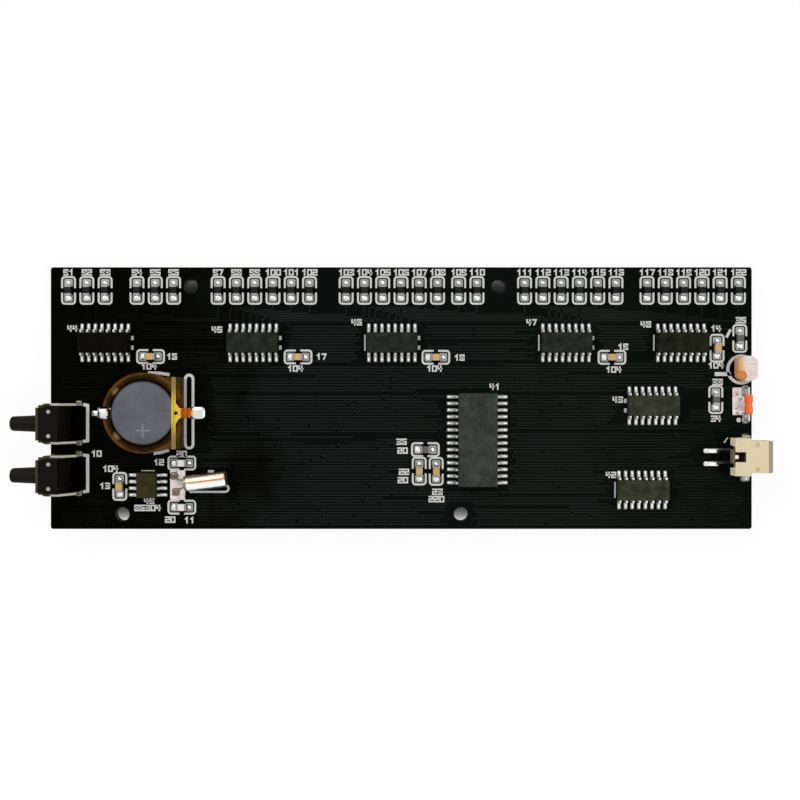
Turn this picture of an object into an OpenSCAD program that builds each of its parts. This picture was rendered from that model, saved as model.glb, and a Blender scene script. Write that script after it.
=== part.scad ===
// Bare board of an LED dot matrix clock, lying on the faces of its lamps.
// Millimetres. X runs along the board, Y across it, and Z out of its component side.
// Z = 0 is the plane of the lamp faces, and X = 0 is the middle of the whole outline.

/* [Board] */
// Length of the board
board_w = 135; // [132:0.5:150]
// Width of the board
board_h = 50.4; // [49:0.2:60]
// Thickness of the board
board_t = 1.6; // [1:0.1:2.4]
// Radius of the board's corners
board_corner_r = 0.5; // [0.2:0.1:1.5]
// Diameter of the screw holes
screw_hole_d = 2.7; // [2.2:0.1:3]
// Upper edge to the upper pair of screw holes
upper_hole_inset = 3.7; // [2.5:0.1:4]
// Middle of the upper pair along the drawn board
upper_hole_mid = -10.9; // [-11.2:0.1:-10.6]
// Distance between the upper pair on the drawn board
upper_hole_spacing = 59.2; // [58.8:0.1:59.6]
// Lower edge to the lower pair of screw holes
lower_hole_inset = 2.85; // [2:0.05:3]
// Middle of the lower pair along the drawn board
lower_hole_mid = -21.1; // [-25:0.1:-18]
// Distance between the lower pair on the drawn board
lower_hole_spacing = 65.2; // [60:0.1:70]

/* [Lamp matrix] */
// Distance between lamps on the drawn board
led_pitch = 4; // [3.6:0.05:4.1]
// Rows of lamps
led_rows = 8; // [6:1:10]
// Columns of lamps in one block
block_columns = 8; // [6:1:8]
// Length of a lamp package
led_l = 3.5; // [3:0.1:3.5]
// Width of a lamp package
led_w = 2.8; // [2.6:0.1:3.4]
// Height of a lamp package
led_h = 1.9; // [1.4:0.1:2.5]
// Diameter of a lamp's cup
led_cup_d = 2.4; // [1.8:0.1:2.5]
// Depth of a lamp's cup
led_cup_depth = 0.6; // [0.4:0.05:1]
// How far a lamp's filling lies below its face
led_fill_drop = 0.08; // [0.04:0.02:0.2]

/* [Chip resistors and capacitors] */
// Length of a chip part
chip_l = 2; // [1.6:0.1:2.4]
// Width of a chip part
chip_w = 1.25; // [0.8:0.05:1.4]
// Height of a chip resistor
resistor_t = 0.55; // [0.4:0.05:0.7]
// Height of a chip capacitor
capacitor_t = 0.85; // [0.6:0.05:1.2]
// Length of a tinned end cap
end_cap_l = 0.4; // [0.2:0.05:0.6]
// Distance between column resistors
resistor_pitch = 3.52; // [3.3:0.01:3.6]
// Upper edge to the line of column resistors
resistor_inset = 4.45; // [3.5:0.05:5]

/* [Lead frames] */
// Distance between leads
lead_pitch = 1.27; // [1.2:0.01:1.35]
// Width of a lead
lead_w = 0.42; // [0.3:0.02:0.5]
// Thickness of a lead
lead_t = 0.2; // [0.15:0.01:0.25]
// Length of a lead's foot
lead_foot = 0.65; // [0.4:0.05:0.8]
// Gap between a package and the board
package_standoff = 0.15; // [0.05:0.05:0.25]
// How far each half of a package tapers
package_draft = 0.14; // [0.05:0.01:0.3]
// Diameter of the dimple that marks the first lead
dimple_d = 0.9; // [0.4:0.1:1.2]
// Depth of that dimple
dimple_depth = 0.1; // [0.05:0.05:0.2]

/* [Driver chips] */
// Length of a driver's body
driver_l = 9.9; // [9.6:0.1:10.4]
// Width of a driver's body
driver_w = 3.9; // [3.6:0.1:4.2]
// Height of a driver's body
driver_t = 1.45; // [1.2:0.05:1.8]
// Width of a driver across its leads
driver_span = 6; // [5.8:0.1:6.6]
// Height of the column drivers' line above the board's middle
driver_line = 10.65; // [9:0.05:11.5]

/* [Controller and clock chip] */
// Length of the controller's body
controller_l = 17.9; // [17.5:0.1:18.5]
// Width of the controller's body
controller_w = 7.5; // [7:0.1:8]
// Height of the controller's body
controller_t = 2.35; // [1.8:0.05:2.6]
// Width of the controller across its leads
controller_span = 10.3; // [9.8:0.1:11]
// Length of the clock chip's body
clock_l = 4.9; // [4.7:0.1:5.2]

/* [Battery] */
// Diameter of the coin cell
cell_d = 12.5; // [12:0.1:12.6]
// Thickness of the coin cell
cell_t = 2; // [1.6:0.1:2.5]
// Diameter of the battery holder
holder_d = 15.3; // [15:0.1:15.8]
// Thickness of the holder's wall at its flat end
holder_end_wall = 0.6; // [0.4:0.05:0.8]
// Thickness of the holder's floor
holder_floor = 0.55; // [0.45:0.05:0.8]
// Height of the ledge that carries the cell
holder_ledge = 1.2; // [1.1:0.05:1.6]
// Gap around the coin cell
cell_gap = 0.15; // [0.05:0.05:0.25]
// Thickness of the contacts
contact_t = 0.22; // [0.15:0.01:0.3]
// Width of the strip across the cell's edge
strip_w = 0.85; // [0.8:0.05:1.4]
// Width of the contacts' tabs
contact_tab_w = 1.9; // [1.6:0.1:2.8]

/* [Crystal] */
// Diameter of the crystal's can
can_d = 3; // [2:0.1:3.1]
// Length of the crystal's can
can_l = 7.5; // [6:0.1:8]
// Turn of the crystal in its place
can_turn = 7; // [0:1:10]
// Diameter of the crystal's leads
can_lead_d = 0.34; // [0.2:0.02:0.5]

/* [Buttons] */
// Distance between the two buttons
button_pitch = 9.7; // [9:0.1:12]
// Height of the upper button's axis, from the board's middle
upper_button_y = -4.8; // [-5.2:0.1:-4.7]
// Left edge of the board to the front of a button's housing
button_inset = 0.5; // [0:0.1:1]
// Width and height of a button's housing
button_size = 6; // [5.6:0.1:6.4]
// Depth of a button's housing
button_depth = 3.6; // [3.4:0.1:4]
// Added width of the housing behind its front
button_flare = 0.3; // [0.2:0.05:0.5]
// Height of a plunger's axis above the board
plunger_z = 4; // [3.8:0.1:4.6]
// Diameter of a plunger where it leaves the plate
plunger_d = 3.2; // [2.8:0.1:3.4]
// Diameter of a plunger near its tip
plunger_tip_d = 2.75; // [2.2:0.05:2.8]
// Left edge of the board to the tips of the plungers
plunger_overhang = 5.6; // [4:0.1:8]
// Travel of a plunger
plunger_travel = 0.25; // [0.15:0.05:0.4]
// Thickness of a button's metal bracket
bracket_t = 0.45; // [0.2:0.05:0.5]
// Front of a housing to the back of its bracket
bracket_reach = 5.6; // [5.2:0.1:6.5]

/* [Power header] */
// Height of the header's middle, from the board's middle
header_y = -11.1; // [-13:0.05:-10]
// Right edge of the board to the back of the header
header_inset = 4.8; // [4:0.1:5.5]
// Right edge of the board to the mouth of the header
header_overhang = 2.5; // [2:0.1:3.5]
// Width of the header's rear block
header_w = 7.1; // [7:0.1:8.5]
// Width of the header's mouth
header_mouth_w = 6; // [5.9:0.1:7]
// Height of the header
header_h = 4.2; // [4:0.1:5.5]
// Thickness of the header's walls
header_wall = 0.7; // [0.5:0.05:0.9]
// Distance between the header's pins
pin_pitch = 2.5; // [2:0.1:2.6]
// Thickness of the header's pins
pin_t = 0.5; // [0.4:0.05:0.64]

/* [Sensors] */
// Length of the light sensor's disc
light_l = 4.85; // [4.6:0.05:5.2]
// Width of the light sensor across its flats
light_w = 3.75; // [3.6:0.05:4.2]
// Thickness of the light sensor's disc
light_t = 1.9; // [1.5:0.1:2.4]
// Height of the light sensor, from the board's middle
light_y = 5.65; // [5.2:0.05:6.2]
// How far the light sensor reaches past the board's edge
light_overhang = 0.2; // [0.2:0.1:1]
// Diameter of the temperature sensor's bead
bead_d = 1.55; // [1.2:0.05:1.9]
// Length of the temperature sensor's bead
bead_l = 3.8; // [3.4:0.1:4.2]
// Height of the temperature sensor, from the board's middle
bead_y = -1.2; // [-1.6:0.05:-1.1]
// Right edge of the board to the bead's axis
bead_inset = 1.3; // [0.9:0.05:1.4]
// Distance between the temperature sensor's holes
bead_hole_spacing = 6.2; // [5.6:0.1:6.4]
// Diameter of the sensors' leads
sensor_lead_d = 0.5; // [0.4:0.02:0.6]

/* [Hidden] */
$fn = 48;
// Facets of a thin or wide round
fine_fn = 192;
// Overlap of a cut with the outside of what it cuts
eps = 0.1;
// Gap of a lead in its hole, all round
hole_gap = 0.15;
// Running gap around a plunger
running_gap = 0.06;
// Gap between pieces that nest without a fit
nest_gap = 0.05;

board_front_z = led_h;
board_rear_z = led_h + board_t;
left_edge = -board_w / 2;
right_edge = board_w / 2;
upper_edge = board_h / 2;
lower_edge = -board_h / 2;
// Middle of the board, so that the whole outline is centred on X = 0
board_mid = (plunger_overhang - header_overhang) / 2;
// Length and width of the drawn board, whose places spread with the real one
drawn_w = 135;
drawn_h = 50.4;
function along(x) = x * board_w / drawn_w;
function spread(at) = [along(at[0]), at[1] * board_h / drawn_h];

blocks = 4;
columns = blocks * block_columns;

// Column resistors: middle of each group from the drawn board's middle, and how many it has
resistor_groups = [[-60.55, 3], [-47.37, 3], [-26.46, 6], [-1.81, 6], [12.82, 2], [32.55, 6], [56.13, 6]];
resistor_line = upper_edge - resistor_inset;
// Small resistors and capacitors: place on the drawn board, and a quarter turn where they stand across it
small_resistors = [[4.64, -9.92, 0], [65.2, 11.5, 1], [60.58, -0.3, 1]];
decoupling_capacitors = [
    [-48.28, 8, 0], [-19.87, 7.93, 0], [6.67, 7.86, 0], [40.58, 7.86, 0],
    [60.82, 9.62, 1], [3.47, -14.05, 1], [6.73, -14.1, 1], [-54.2, -17, 1]
];
load_capacitors = [[-42.26, -12.5, 0], [-42.26, -21, 0]];

// Chips, battery holder and crystal on the drawn board
column_driver_x = [-57, -28.5, -1.8, 31.7];
row_driver_at = [53.86, driver_line];
row_sink_1_at = [48.37, -1.46];
row_sink_2_at = [46.37, -17.67];
driver_pins = 8;
lead_shoulder = 0.3;
dimple_inset = 1.2;
controller_at = [14.64, -8.01];
controller_pins = 14;
clock_at = [-48.75, -16.72];
clock_pins = 4;

holder_at = [-48.85, -2.85];
holder_reach = cell_d / 2 + cell_gap + holder_end_wall;
// How far the cell's negative cap stands below its can, and the width of its crimped rim
cell_cap_drop = 0.15;
cell_rim = 0.55;
cell_gasket_w = 0.5;
cell_cap_t = 0.45;
cell_edge_r = 0.35;
cell_z = holder_ledge - cell_cap_drop;
holder_h = cell_z + cell_t;
holder_block_half = 6.8;
strip_overhang = 0.05;
strip_x = cell_d / 2 - strip_w / 2 + strip_overhang;
positive_foot = 3.6;
negative_foot = 1.9;
contact_eye_d = 0.7;
contact_fillet = 0.7;
contact_flare = 1;
// Gap beside the negative contact in its notch
contact_notch_gap = 0.3;

crystal_at = [-40.8, -16.3];
can_foot_w = 3.1;
can_stem_t = 0.5;
can_lead_reach = 2.3;
can_lead_gap = 0.9;
can_round = 0.4;

button_front = left_edge + button_inset;
button_base_z = plunger_z - button_size / 2;
button_y = [upper_button_y, upper_button_y - button_pitch];
collar_step = 0.3;
collar_r = plunger_d / 2 + collar_step;
collar_t = 0.7;
nub_r = 0.8;
nub_l = 0.35;
dome_t = 0.1;
dome_rise = 0.4;
dome_gap = 0.05;
tip_round = 0.35;
flare_from = 0.6;
flare_to = 1.2;
rivet_d = 0.7;
rivet_h = 0.2;
rivet_spacing = 4.5;
rivet_back = 2.05;
leg_w = 0.8;
arm_drop = 1.2;
terminal_w = 0.7;
terminal_t = 0.25;
terminal_spacing = 4.5;

header_back = right_edge - header_inset;
header_front = right_edge + header_overhang;
header_block_l = 3;
// Space under the header's back: its depth, the height of the ears beside it, and the roof over it
header_undercut = 2;
header_ear_z = 1.75;
header_roof_t = 0.8;
header_rear_wall = 1;
pin_z = header_h / 2;
pin_inside = 5.6;
pin_tail = 4.5;
pin_bay_gap = 0.62;
pin_bay_w = pin_pitch + pin_t + 2 * pin_bay_gap;
pin_slot_w = 0.85;
// Window in the roof for the plug's latch, with the bar and the nub at its back
latch_w = 1.9;
latch_bar_t = 0.45;
latch_nub_l = 0.7;
latch_nub_w = 0.75;
latch_nub_drop = 0.3;
key_d = 0.8;
key_depth = 0.15;
key_spacing = 4.6;
key_from = 4.2;
lip_step = 1.1;
lip_drop = 0.6;
anchor_t = 0.4;
anchor_l = 1.6;
anchor_h = 1.2;
anchor_from = 2.5;

light_x = right_edge + light_overhang - light_w / 2;
light_standoff = 0.6;
light_lead_spacing = 2.6;
light_pane_t = 0.15;
bead_x = right_edge - bead_inset;
bead_z = 1.7;
bead_round = 0.35;
// Radius and depth of the waist around the bead
bead_waist_r = 1;
bead_waist = 0.12;
lead_below = 0.4;

// Children stand on the component side, placed from the board's middle
module on_rear(at) {
    translate([board_mid + at[0], at[1], board_rear_z]) children();
}

// The same from a place on the drawn board
module on_drawn(at) {
    on_rear(spread(at)) children();
}

// Children stand on the front side, placed from the board's middle
module on_front() {
    translate([board_mid, 0, board_front_z]) children();
}

// A box whose middle in X and Y is at the given place
module block(size, at = [0, 0, 0]) {
    translate([at[0] - size[0] / 2, at[1] - size[1] / 2, at[2]]) cube(size);
}

module rounded_plate(w, h, t, r) {
    linear_extrude(t) union() {
        square([w - 2 * r, h], center = true);
        square([w, h - 2 * r], center = true);
        for (x = [-1, 1], y = [-1, 1]) translate([x * (w / 2 - r), y * (h / 2 - r)]) circle(r = r);
    }
}

// A profile drawn in X and Z, given a width along Y
module across_y(width) {
    translate([0, width / 2, 0]) rotate([90, 0, 0]) linear_extrude(width) children();
}

function screw_holes() = [
    for (s = [-1, 1]) [along(upper_hole_mid + s * upper_hole_spacing / 2), upper_edge - upper_hole_inset],
    for (s = [-1, 1]) [along(lower_hole_mid + s * lower_hole_spacing / 2), lower_edge + lower_hole_inset]
];

function light_holes() = [for (s = [-1, 1]) [light_x, light_y + s * light_lead_spacing / 2]];

function bead_holes() = [for (s = [-1, 1]) [bead_x, bead_y + s * bead_hole_spacing / 2]];

module circuit_board() {
    color("#101411") on_front() difference() {
        rounded_plate(board_w, board_h, board_t, board_corner_r);
        for (p = screw_holes())
            translate([p[0], p[1], -eps]) cylinder(d = screw_hole_d, h = board_t + 2 * eps);
        for (p = concat(light_holes(), bead_holes()))
            translate([p[0], p[1], -eps]) cylinder(d = sensor_lead_d + 2 * hole_gap, h = board_t + 2 * eps);
    }
}

// Middle of the lamp in a column and a row, from the board's middle
function lamp_at(column, row) = [
    along((column - (columns - 1) / 2) * led_pitch),
    (row - (led_rows - 1) / 2) * led_pitch
];

module lamp_block(number) {
    color("#e8e6df") for (c = [0 : block_columns - 1], r = [0 : led_rows - 1])
        translate(concat(lamp_at((number - 1) * block_columns + c, r) + [board_mid, 0], 0)) difference() {
            block([led_l, led_w, led_h]);
            translate([0, 0, -eps]) cylinder(d = led_cup_d, h = led_cup_depth + eps);
        }
}

module lamp_fillings() {
    color("#f0d9a8") for (c = [0 : columns - 1], r = [0 : led_rows - 1])
        translate(concat(lamp_at(c, r) + [board_mid, 0], led_fill_drop))
            cylinder(d = led_cup_d - 2 * nest_gap, h = led_cup_depth - led_fill_drop);
}

// Chip parts lie along X, and the third number of their place turns them across
module at_chip(place) {
    on_rear(place) rotate([0, 0, 90 * place[2]]) children();
}

module chip_middle(t) {
    block([chip_l - 2 * end_cap_l, chip_w, t]);
}

module chip_ends(t) {
    for (s = [-1, 1]) block([end_cap_l, chip_w, t], [s * (chip_l - end_cap_l) / 2, 0, 0]);
}

function resistor_places() = [
    for (g = resistor_groups) for (i = [0 : g[1] - 1])
        [along(g[0]) + (i - (g[1] - 1) / 2) * resistor_pitch, resistor_line, 1]
];

// A chip part's place on the board, with its turn kept
function chip_places(drawn) = [for (p = drawn) concat(spread(p), p[2])];

module column_resistors() {
    color("#17181a") for (p = resistor_places()) at_chip(p) chip_middle(resistor_t);
}

module column_resistor_caps() {
    color("#c9cacb") for (p = resistor_places()) at_chip(p) chip_ends(resistor_t);
}

module small_resistor_bodies() {
    color("#17181a") for (p = chip_places(small_resistors)) at_chip(p) chip_middle(resistor_t);
}

module small_resistor_caps() {
    color("#c9cacb") for (p = chip_places(small_resistors)) at_chip(p) chip_ends(resistor_t);
}

module decoupling_capacitor_bodies() {
    color("#a97b3c") for (p = chip_places(decoupling_capacitors)) at_chip(p) chip_middle(capacitor_t);
}

module load_capacitor_bodies() {
    color("#b9b3a8") for (p = chip_places(load_capacitors)) at_chip(p) chip_middle(capacitor_t);
}

module capacitor_caps() {
    color("#c9cacb") for (p = chip_places(concat(decoupling_capacitors, load_capacitors)))
        at_chip(p) chip_ends(capacitor_t);
}

// Half section of a moulded package: two tapered halves that meet in a band where the leads come out
function package_side(w, t) = let (mid = package_standoff + t / 2) [
    [w / 2 - package_draft, package_standoff],
    [w / 2, mid - lead_t / 2],
    [w / 2, mid + lead_t / 2],
    [w / 2 - package_draft, package_standoff + t]
];

function mirrored(points) = concat(points, [
    for (i = [len(points) - 1 : -1 : 0]) [-points[i][0], points[i][1]]
]);

// Package along X, with its leads on the two long sides
module package(l, w, t) {
    difference() {
        intersection() {
            across_y(w + 2 * eps) polygon(mirrored(package_side(l, t)));
            rotate([0, 0, 90]) across_y(l + 2 * eps) polygon(mirrored(package_side(w, t)));
        }
        translate([dimple_inset - l / 2, dimple_inset - w / 2, package_standoff + t - dimple_depth])
            cylinder(d = dimple_d, h = dimple_depth + eps);
    }
}

// Gull-wing lead from a package's side to its foot, drawn outwards along X
function lead_profile(w, t, span) =
    let (mid = package_standoff + t / 2, shoulder = w / 2 + lead_shoulder, heel = span / 2 - lead_foot) [
        [w / 2, mid - lead_t / 2], [shoulder, mid - lead_t / 2], [heel, 0], [span / 2, 0],
        [span / 2, lead_t], [heel + lead_t, lead_t],
        [shoulder + lead_t, mid + lead_t / 2], [w / 2, mid + lead_t / 2]
    ];

module package_leads(per_side, w, t, span) {
    for (side = [0, 180], i = [0 : per_side - 1])
        rotate([0, 0, side]) translate([(i - (per_side - 1) / 2) * lead_pitch, 0, 0])
            rotate([0, 0, 90]) across_y(lead_w) polygon(lead_profile(w, t, span));
}

function column_driver_at(number) = [column_driver_x[number], driver_line];

module driver(at) {
    color("#26261f") on_drawn(at) package(driver_l, driver_w, driver_t);
}

module driver_leads(at) {
    color("#bfc0bd") on_drawn(at) package_leads(driver_pins, driver_w, driver_t, driver_span);
}

module controller() {
    color("#272c2b") on_drawn(controller_at) rotate([0, 0, -90])
        package(controller_l, controller_w, controller_t);
}

module controller_leads() {
    color("#bfc0bd") on_drawn(controller_at) rotate([0, 0, -90])
        package_leads(controller_pins, controller_w, controller_t, controller_span);
}

module clock_chip() {
    color("#26261f") on_drawn(clock_at) rotate([0, 0, 90]) package(clock_l, driver_w, driver_t);
}

module clock_chip_leads() {
    color("#bfc0bd") on_drawn(clock_at) rotate([0, 0, 90])
        package_leads(clock_pins, driver_w, driver_t, driver_span);
}

// The crystal lies along X from its stem, turned a little on the board
module at_crystal() {
    on_drawn(crystal_at) rotate([0, 0, can_turn]) translate([0, 0, can_d / 2]) children();
}

module crystal_can() {
    color("#c4c1b8") at_crystal() rotate([0, 90, 0]) rotate_extrude() union() {
        square([can_d / 2 - can_round, can_l]);
        square([can_d / 2, can_l - can_round]);
        translate([can_d / 2 - can_round, can_l - can_round]) circle(r = can_round);
    }
}

module crystal_stem() {
    color("#8d8574") at_crystal() translate([-can_stem_t, 0, 0]) rotate([0, 90, 0])
        cylinder(d = can_d - 2 * nest_gap, h = can_stem_t);
}

module crystal_leads() {
    spread = atan2((can_foot_w - can_lead_gap) / 2, can_lead_reach);
    run = norm([(can_foot_w - can_lead_gap) / 2, can_lead_reach]);
    color("#c9c9c4") at_crystal() for (s = [-1, 1]) translate([-can_stem_t, s * can_lead_gap / 2, 0])
        rotate([0, 0, 180 - s * spread]) {
            rotate([0, 90, 0]) cylinder(d = can_lead_d, h = run);
            translate([run, 0, 0]) sphere(d = can_lead_d);
            translate([run, 0, -can_d / 2]) cylinder(d = can_lead_d, h = can_d / 2);
        }
}

// Outline of the holder: round on three sides and square at the contact's end
module holder_outline() {
    intersection() {
        union() {
            circle(d = holder_d);
            translate([0, -holder_block_half]) square([holder_reach, 2 * holder_block_half]);
        }
        translate([-holder_d, -holder_d]) square([holder_d + holder_reach, 2 * holder_d]);
    }
}

module battery_holder() {
    slot_w = contact_tab_w + 2 * contact_notch_gap;
    color("#4a2f12") on_drawn(holder_at) difference() {
        linear_extrude(holder_h) holder_outline();
        translate([0, 0, holder_ledge]) cylinder(d = cell_d + 2 * cell_gap, h = holder_h);
        translate([0, 0, holder_floor]) cylinder(r = cell_d / 2 - cell_rim, h = holder_h);
        // Notch and channel for the negative contact, and the window that its tongue comes up through
        block([holder_d / 2, slot_w, holder_h + 2 * eps], [cell_rim - cell_d / 2 - holder_d / 4, 0, -eps]);
        block([holder_d, slot_w, contact_t + nest_gap + eps], [-holder_d / 2, 0, -eps]);
        block([holder_d / 2, slot_w, holder_h], [0, 0, -eps]);
    }
}

// Turned section of the coin cell's can, over its cap and gasket
module coin_cell_can() {
    r = cell_d / 2;
    color("#85878c") on_drawn(holder_at) translate([0, 0, cell_z])
        rotate_extrude($fn = fine_fn) difference() {
            union() {
                translate([0, cell_cap_drop]) square([r, cell_t - cell_cap_drop - cell_edge_r]);
                translate([0, cell_cap_drop]) square([r - cell_edge_r, cell_t - cell_cap_drop]);
                intersection() {
                    translate([r - cell_edge_r, cell_t - cell_edge_r]) circle(r = cell_edge_r);
                    square([r, cell_t]);
                }
            }
            square([r - cell_rim, cell_cap_t]);
        }
}

module coin_cell_gasket() {
    color("#2b2b2b") on_drawn(holder_at) translate([0, 0, cell_z + cell_cap_drop]) difference() {
        cylinder(r = cell_d / 2 - cell_rim - nest_gap, h = cell_cap_t - cell_cap_drop);
        translate([0, 0, -eps])
            cylinder(r = cell_d / 2 - cell_rim - cell_gasket_w, h = cell_cap_t + 2 * eps);
    }
}

module coin_cell_cap() {
    color("#8f9196") on_drawn(holder_at) translate([0, 0, cell_z])
        cylinder(r = cell_d / 2 - cell_rim - cell_gasket_w - nest_gap, h = cell_cap_t);
}

// Strip over the cell's edge, and a tab that runs down the holder's square end to its pad
module positive_contact() {
    down = holder_reach + nest_gap;
    tab_from = strip_x + strip_w / 2;
    tab_half = contact_tab_w / 2;
    color("#c9a23a") on_drawn(holder_at) difference() {
        union() {
            block([strip_w, 2 * holder_block_half, contact_t], [strip_x, 0, holder_h]);
            translate([0, 0, holder_h]) linear_extrude(contact_t) polygon([
                [strip_x, tab_half + contact_flare], [tab_from, tab_half + contact_flare],
                [tab_from + contact_fillet, tab_half], [tab_from + contact_fillet, -tab_half],
                [tab_from, -tab_half - contact_flare], [strip_x, -tab_half - contact_flare]
            ]);
            across_y(contact_tab_w) polygon([
                [strip_x, holder_h], [down, holder_h], [down, 0], [down + positive_foot, 0],
                [down + positive_foot, contact_t], [down + contact_t, contact_t],
                [down + contact_t, holder_h + contact_t], [strip_x, holder_h + contact_t]
            ]);
        }
        translate([tab_from, 0, holder_h - eps]) cylinder(d = contact_eye_d, h = contact_t + 2 * eps);
    }
}

// Foot on its pad, then a strip under the holder's floor with a tongue that springs up to the cell
module negative_contact() {
    foot_end = -holder_d / 2 - negative_foot;
    rise_from = -holder_d / 4 + 2 * cell_gap;
    color("#c9c6bd") on_drawn(holder_at) across_y(contact_tab_w) polygon([
        [foot_end, 0], [rise_from, 0], [0, cell_z - contact_t], [holder_d / 8, cell_z - contact_t],
        [holder_d / 8, cell_z], [-contact_t, cell_z],
        [rise_from - contact_t, contact_t], [foot_end, contact_t]
    ]);
}

// A button's own axes: X from the front of its housing into the board, Z up from the board
module at_button(number) {
    on_rear([button_front, button_y[number]]) children();
}

// Outline of the housing seen from above
module housing_outline() {
    half = button_size / 2;
    wide = half + button_flare;
    polygon([
        [0, -half], [flare_from, -half], [flare_to, -wide], [button_depth, -wide],
        [button_depth, wide], [flare_to, wide], [flare_from, half], [0, half]
    ]);
}

module button_plunger(number) {
    plate_r = plunger_d / 2;
    tip_r = plunger_tip_d / 2;
    tip_l = plunger_overhang + button_inset;
    color("#161616") at_button(number) translate([0, 0, plunger_z]) rotate([0, -90, 0])
        rotate_extrude() union() {
            translate([0, -collar_t - nub_l - nest_gap]) square([nub_r, collar_t]);
            translate([0, -collar_t - nest_gap]) square([collar_r, collar_t]);
            translate([0, -collar_t]) square([plate_r, collar_t + 2 * bracket_t]);
            polygon([
                [0, 2 * bracket_t], [plate_r, 2 * bracket_t], [tip_r, tip_l - tip_round],
                [tip_r - tip_round, tip_l], [0, tip_l]
            ]);
            translate([tip_r - tip_round, tip_l - tip_round]) circle(r = tip_round);
        }
}

// Depth of the housing's bore, with room for the collar, the nub, its travel and the dome
function bore_depth() = 2 * nest_gap + collar_t + nub_l + plunger_travel + dome_gap + dome_rise;

module button_housing(number) {
    color("#15140f") at_button(number) union() {
        difference() {
            translate([0, 0, button_base_z]) linear_extrude(button_size) housing_outline();
            translate([-eps, 0, plunger_z]) rotate([0, 90, 0])
                cylinder(r = collar_r + running_gap, h = bore_depth() + eps);
        }
        for (s = [-1, 1]) translate([rivet_back, s * rivet_spacing / 2, button_base_z + button_size])
            cylinder(d = rivet_d, h = rivet_h);
    }
}

// Front plate with the plunger's hole, bent back into two arms that end in legs on the board
module button_bracket(number) {
    half = button_size / 2 + nest_gap;
    wide = half + button_flare;
    top = button_base_z + button_size;
    color("#b9b7b0") at_button(number) union() {
        difference() {
            block([bracket_t, button_size + 2 * nest_gap, button_size], [-bracket_t / 2, 0, button_base_z]);
            translate([-bracket_t - eps, 0, plunger_z]) rotate([0, 90, 0])
                cylinder(r = plunger_d / 2 + running_gap, h = bracket_t + 2 * eps);
        }
        for (s = [0, 1]) mirror([0, s, 0]) {
            translate([0, 0, button_base_z + arm_drop]) linear_extrude(button_size - 2 * arm_drop) polygon([
                [-bracket_t, half - bracket_t], [0, half - bracket_t], [0, half],
                [flare_from, half], [flare_to, wide], [button_depth, wide],
                [button_depth, wide + bracket_t], [flare_to - bracket_t, wide + bracket_t],
                [flare_from - bracket_t, half + bracket_t], [-bracket_t, half + bracket_t]
            ]);
            translate([0, wide + bracket_t / 2, 0]) across_y(bracket_t) polygon([
                [button_depth - eps, top - arm_drop], [bracket_reach, button_base_z + arm_drop + leg_w],
                [bracket_reach, 0], [bracket_reach - leg_w, 0],
                [bracket_reach - leg_w, button_base_z + leg_w],
                [button_depth - eps, button_base_z + arm_drop]
            ]);
        }
    }
}

module button_dome(number) {
    r = collar_r - running_gap;
    ball_r = (r * r + dome_rise * dome_rise) / (2 * dome_rise);
    color("#d2d2cc") at_button(number) translate([bore_depth(), 0, plunger_z]) rotate([0, -90, 0])
        rotate_extrude() intersection() {
            translate([0, dome_rise - ball_r]) difference() {
                circle(r = ball_r, $fn = fine_fn);
                circle(r = ball_r - dome_t, $fn = fine_fn);
            }
            square([r, dome_rise]);
        }
}

// Pins from the housing's underside to the board
module button_terminals(number) {
    color("#c9c9c4") at_button(number) for (s = [-1, 1])
        block([terminal_t, terminal_w, button_base_z],
            [button_depth - terminal_t, s * terminal_spacing / 2, 0]);
}

// The header's own axes: X from its back towards its mouth
module at_header() {
    on_rear([header_back, header_y]) children();
}

module power_header_housing() {
    length = header_front - header_back;
    bay_h = header_h - header_roof_t;
    cavity_from = header_undercut + header_rear_wall;
    color("#d8c9a2") at_header() union() {
        difference() {
            union() {
                block([header_block_l, header_w, header_h], [header_block_l / 2, 0, 0]);
                block([length, header_mouth_w, header_h], [length / 2, 0, 0]);
            }
            // Mouth and its sloped lip
            block([length, header_mouth_w - 2 * header_wall, header_h - 2 * header_wall],
                [cavity_from + length / 2, 0, header_wall]);
            across_y(header_mouth_w + 2 * eps) polygon([
                [length - lip_step, header_h], [length, header_h - lip_drop],
                [length + eps, header_h - lip_drop], [length + eps, header_h + eps],
                [length - lip_step, header_h + eps]
            ]);
            // Space for the pins under the back, open between its ears and beside its bar
            block([header_undercut + eps, header_w + 2 * eps, header_ear_z + eps],
                [(header_undercut - eps) / 2, 0, -eps]);
            block([header_undercut - latch_bar_t, pin_bay_w, bay_h],
                [(header_undercut + latch_bar_t) / 2, 0, 0]);
            for (s = [-1, 1])
                block([2 * latch_bar_t + eps, pin_slot_w, bay_h],
                    [latch_bar_t - eps / 2, s * (pin_bay_w - pin_slot_w) / 2, 0]);
            // Window for the plug's latch, two key marks and the channels of the pins
            block([header_undercut + eps, latch_w, header_roof_t + eps],
                [(header_undercut - eps) / 2, 0, bay_h]);
            for (s = [-1, 1]) translate([key_from, s * key_spacing / 2, header_h - key_depth])
                cylinder(d = key_d, h = key_depth + eps);
            for (s = [-1, 1])
                block([header_rear_wall + 2 * eps, pin_t + 2 * nest_gap, pin_t + 2 * nest_gap],
                    [cavity_from - header_rear_wall / 2, s * pin_pitch / 2, pin_z - pin_t / 2 - nest_gap]);
        }
        block([latch_nub_l, latch_nub_w, header_h - latch_nub_drop - header_ear_z],
            [latch_nub_l / 2, 0, header_ear_z]);
    }
}

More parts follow.
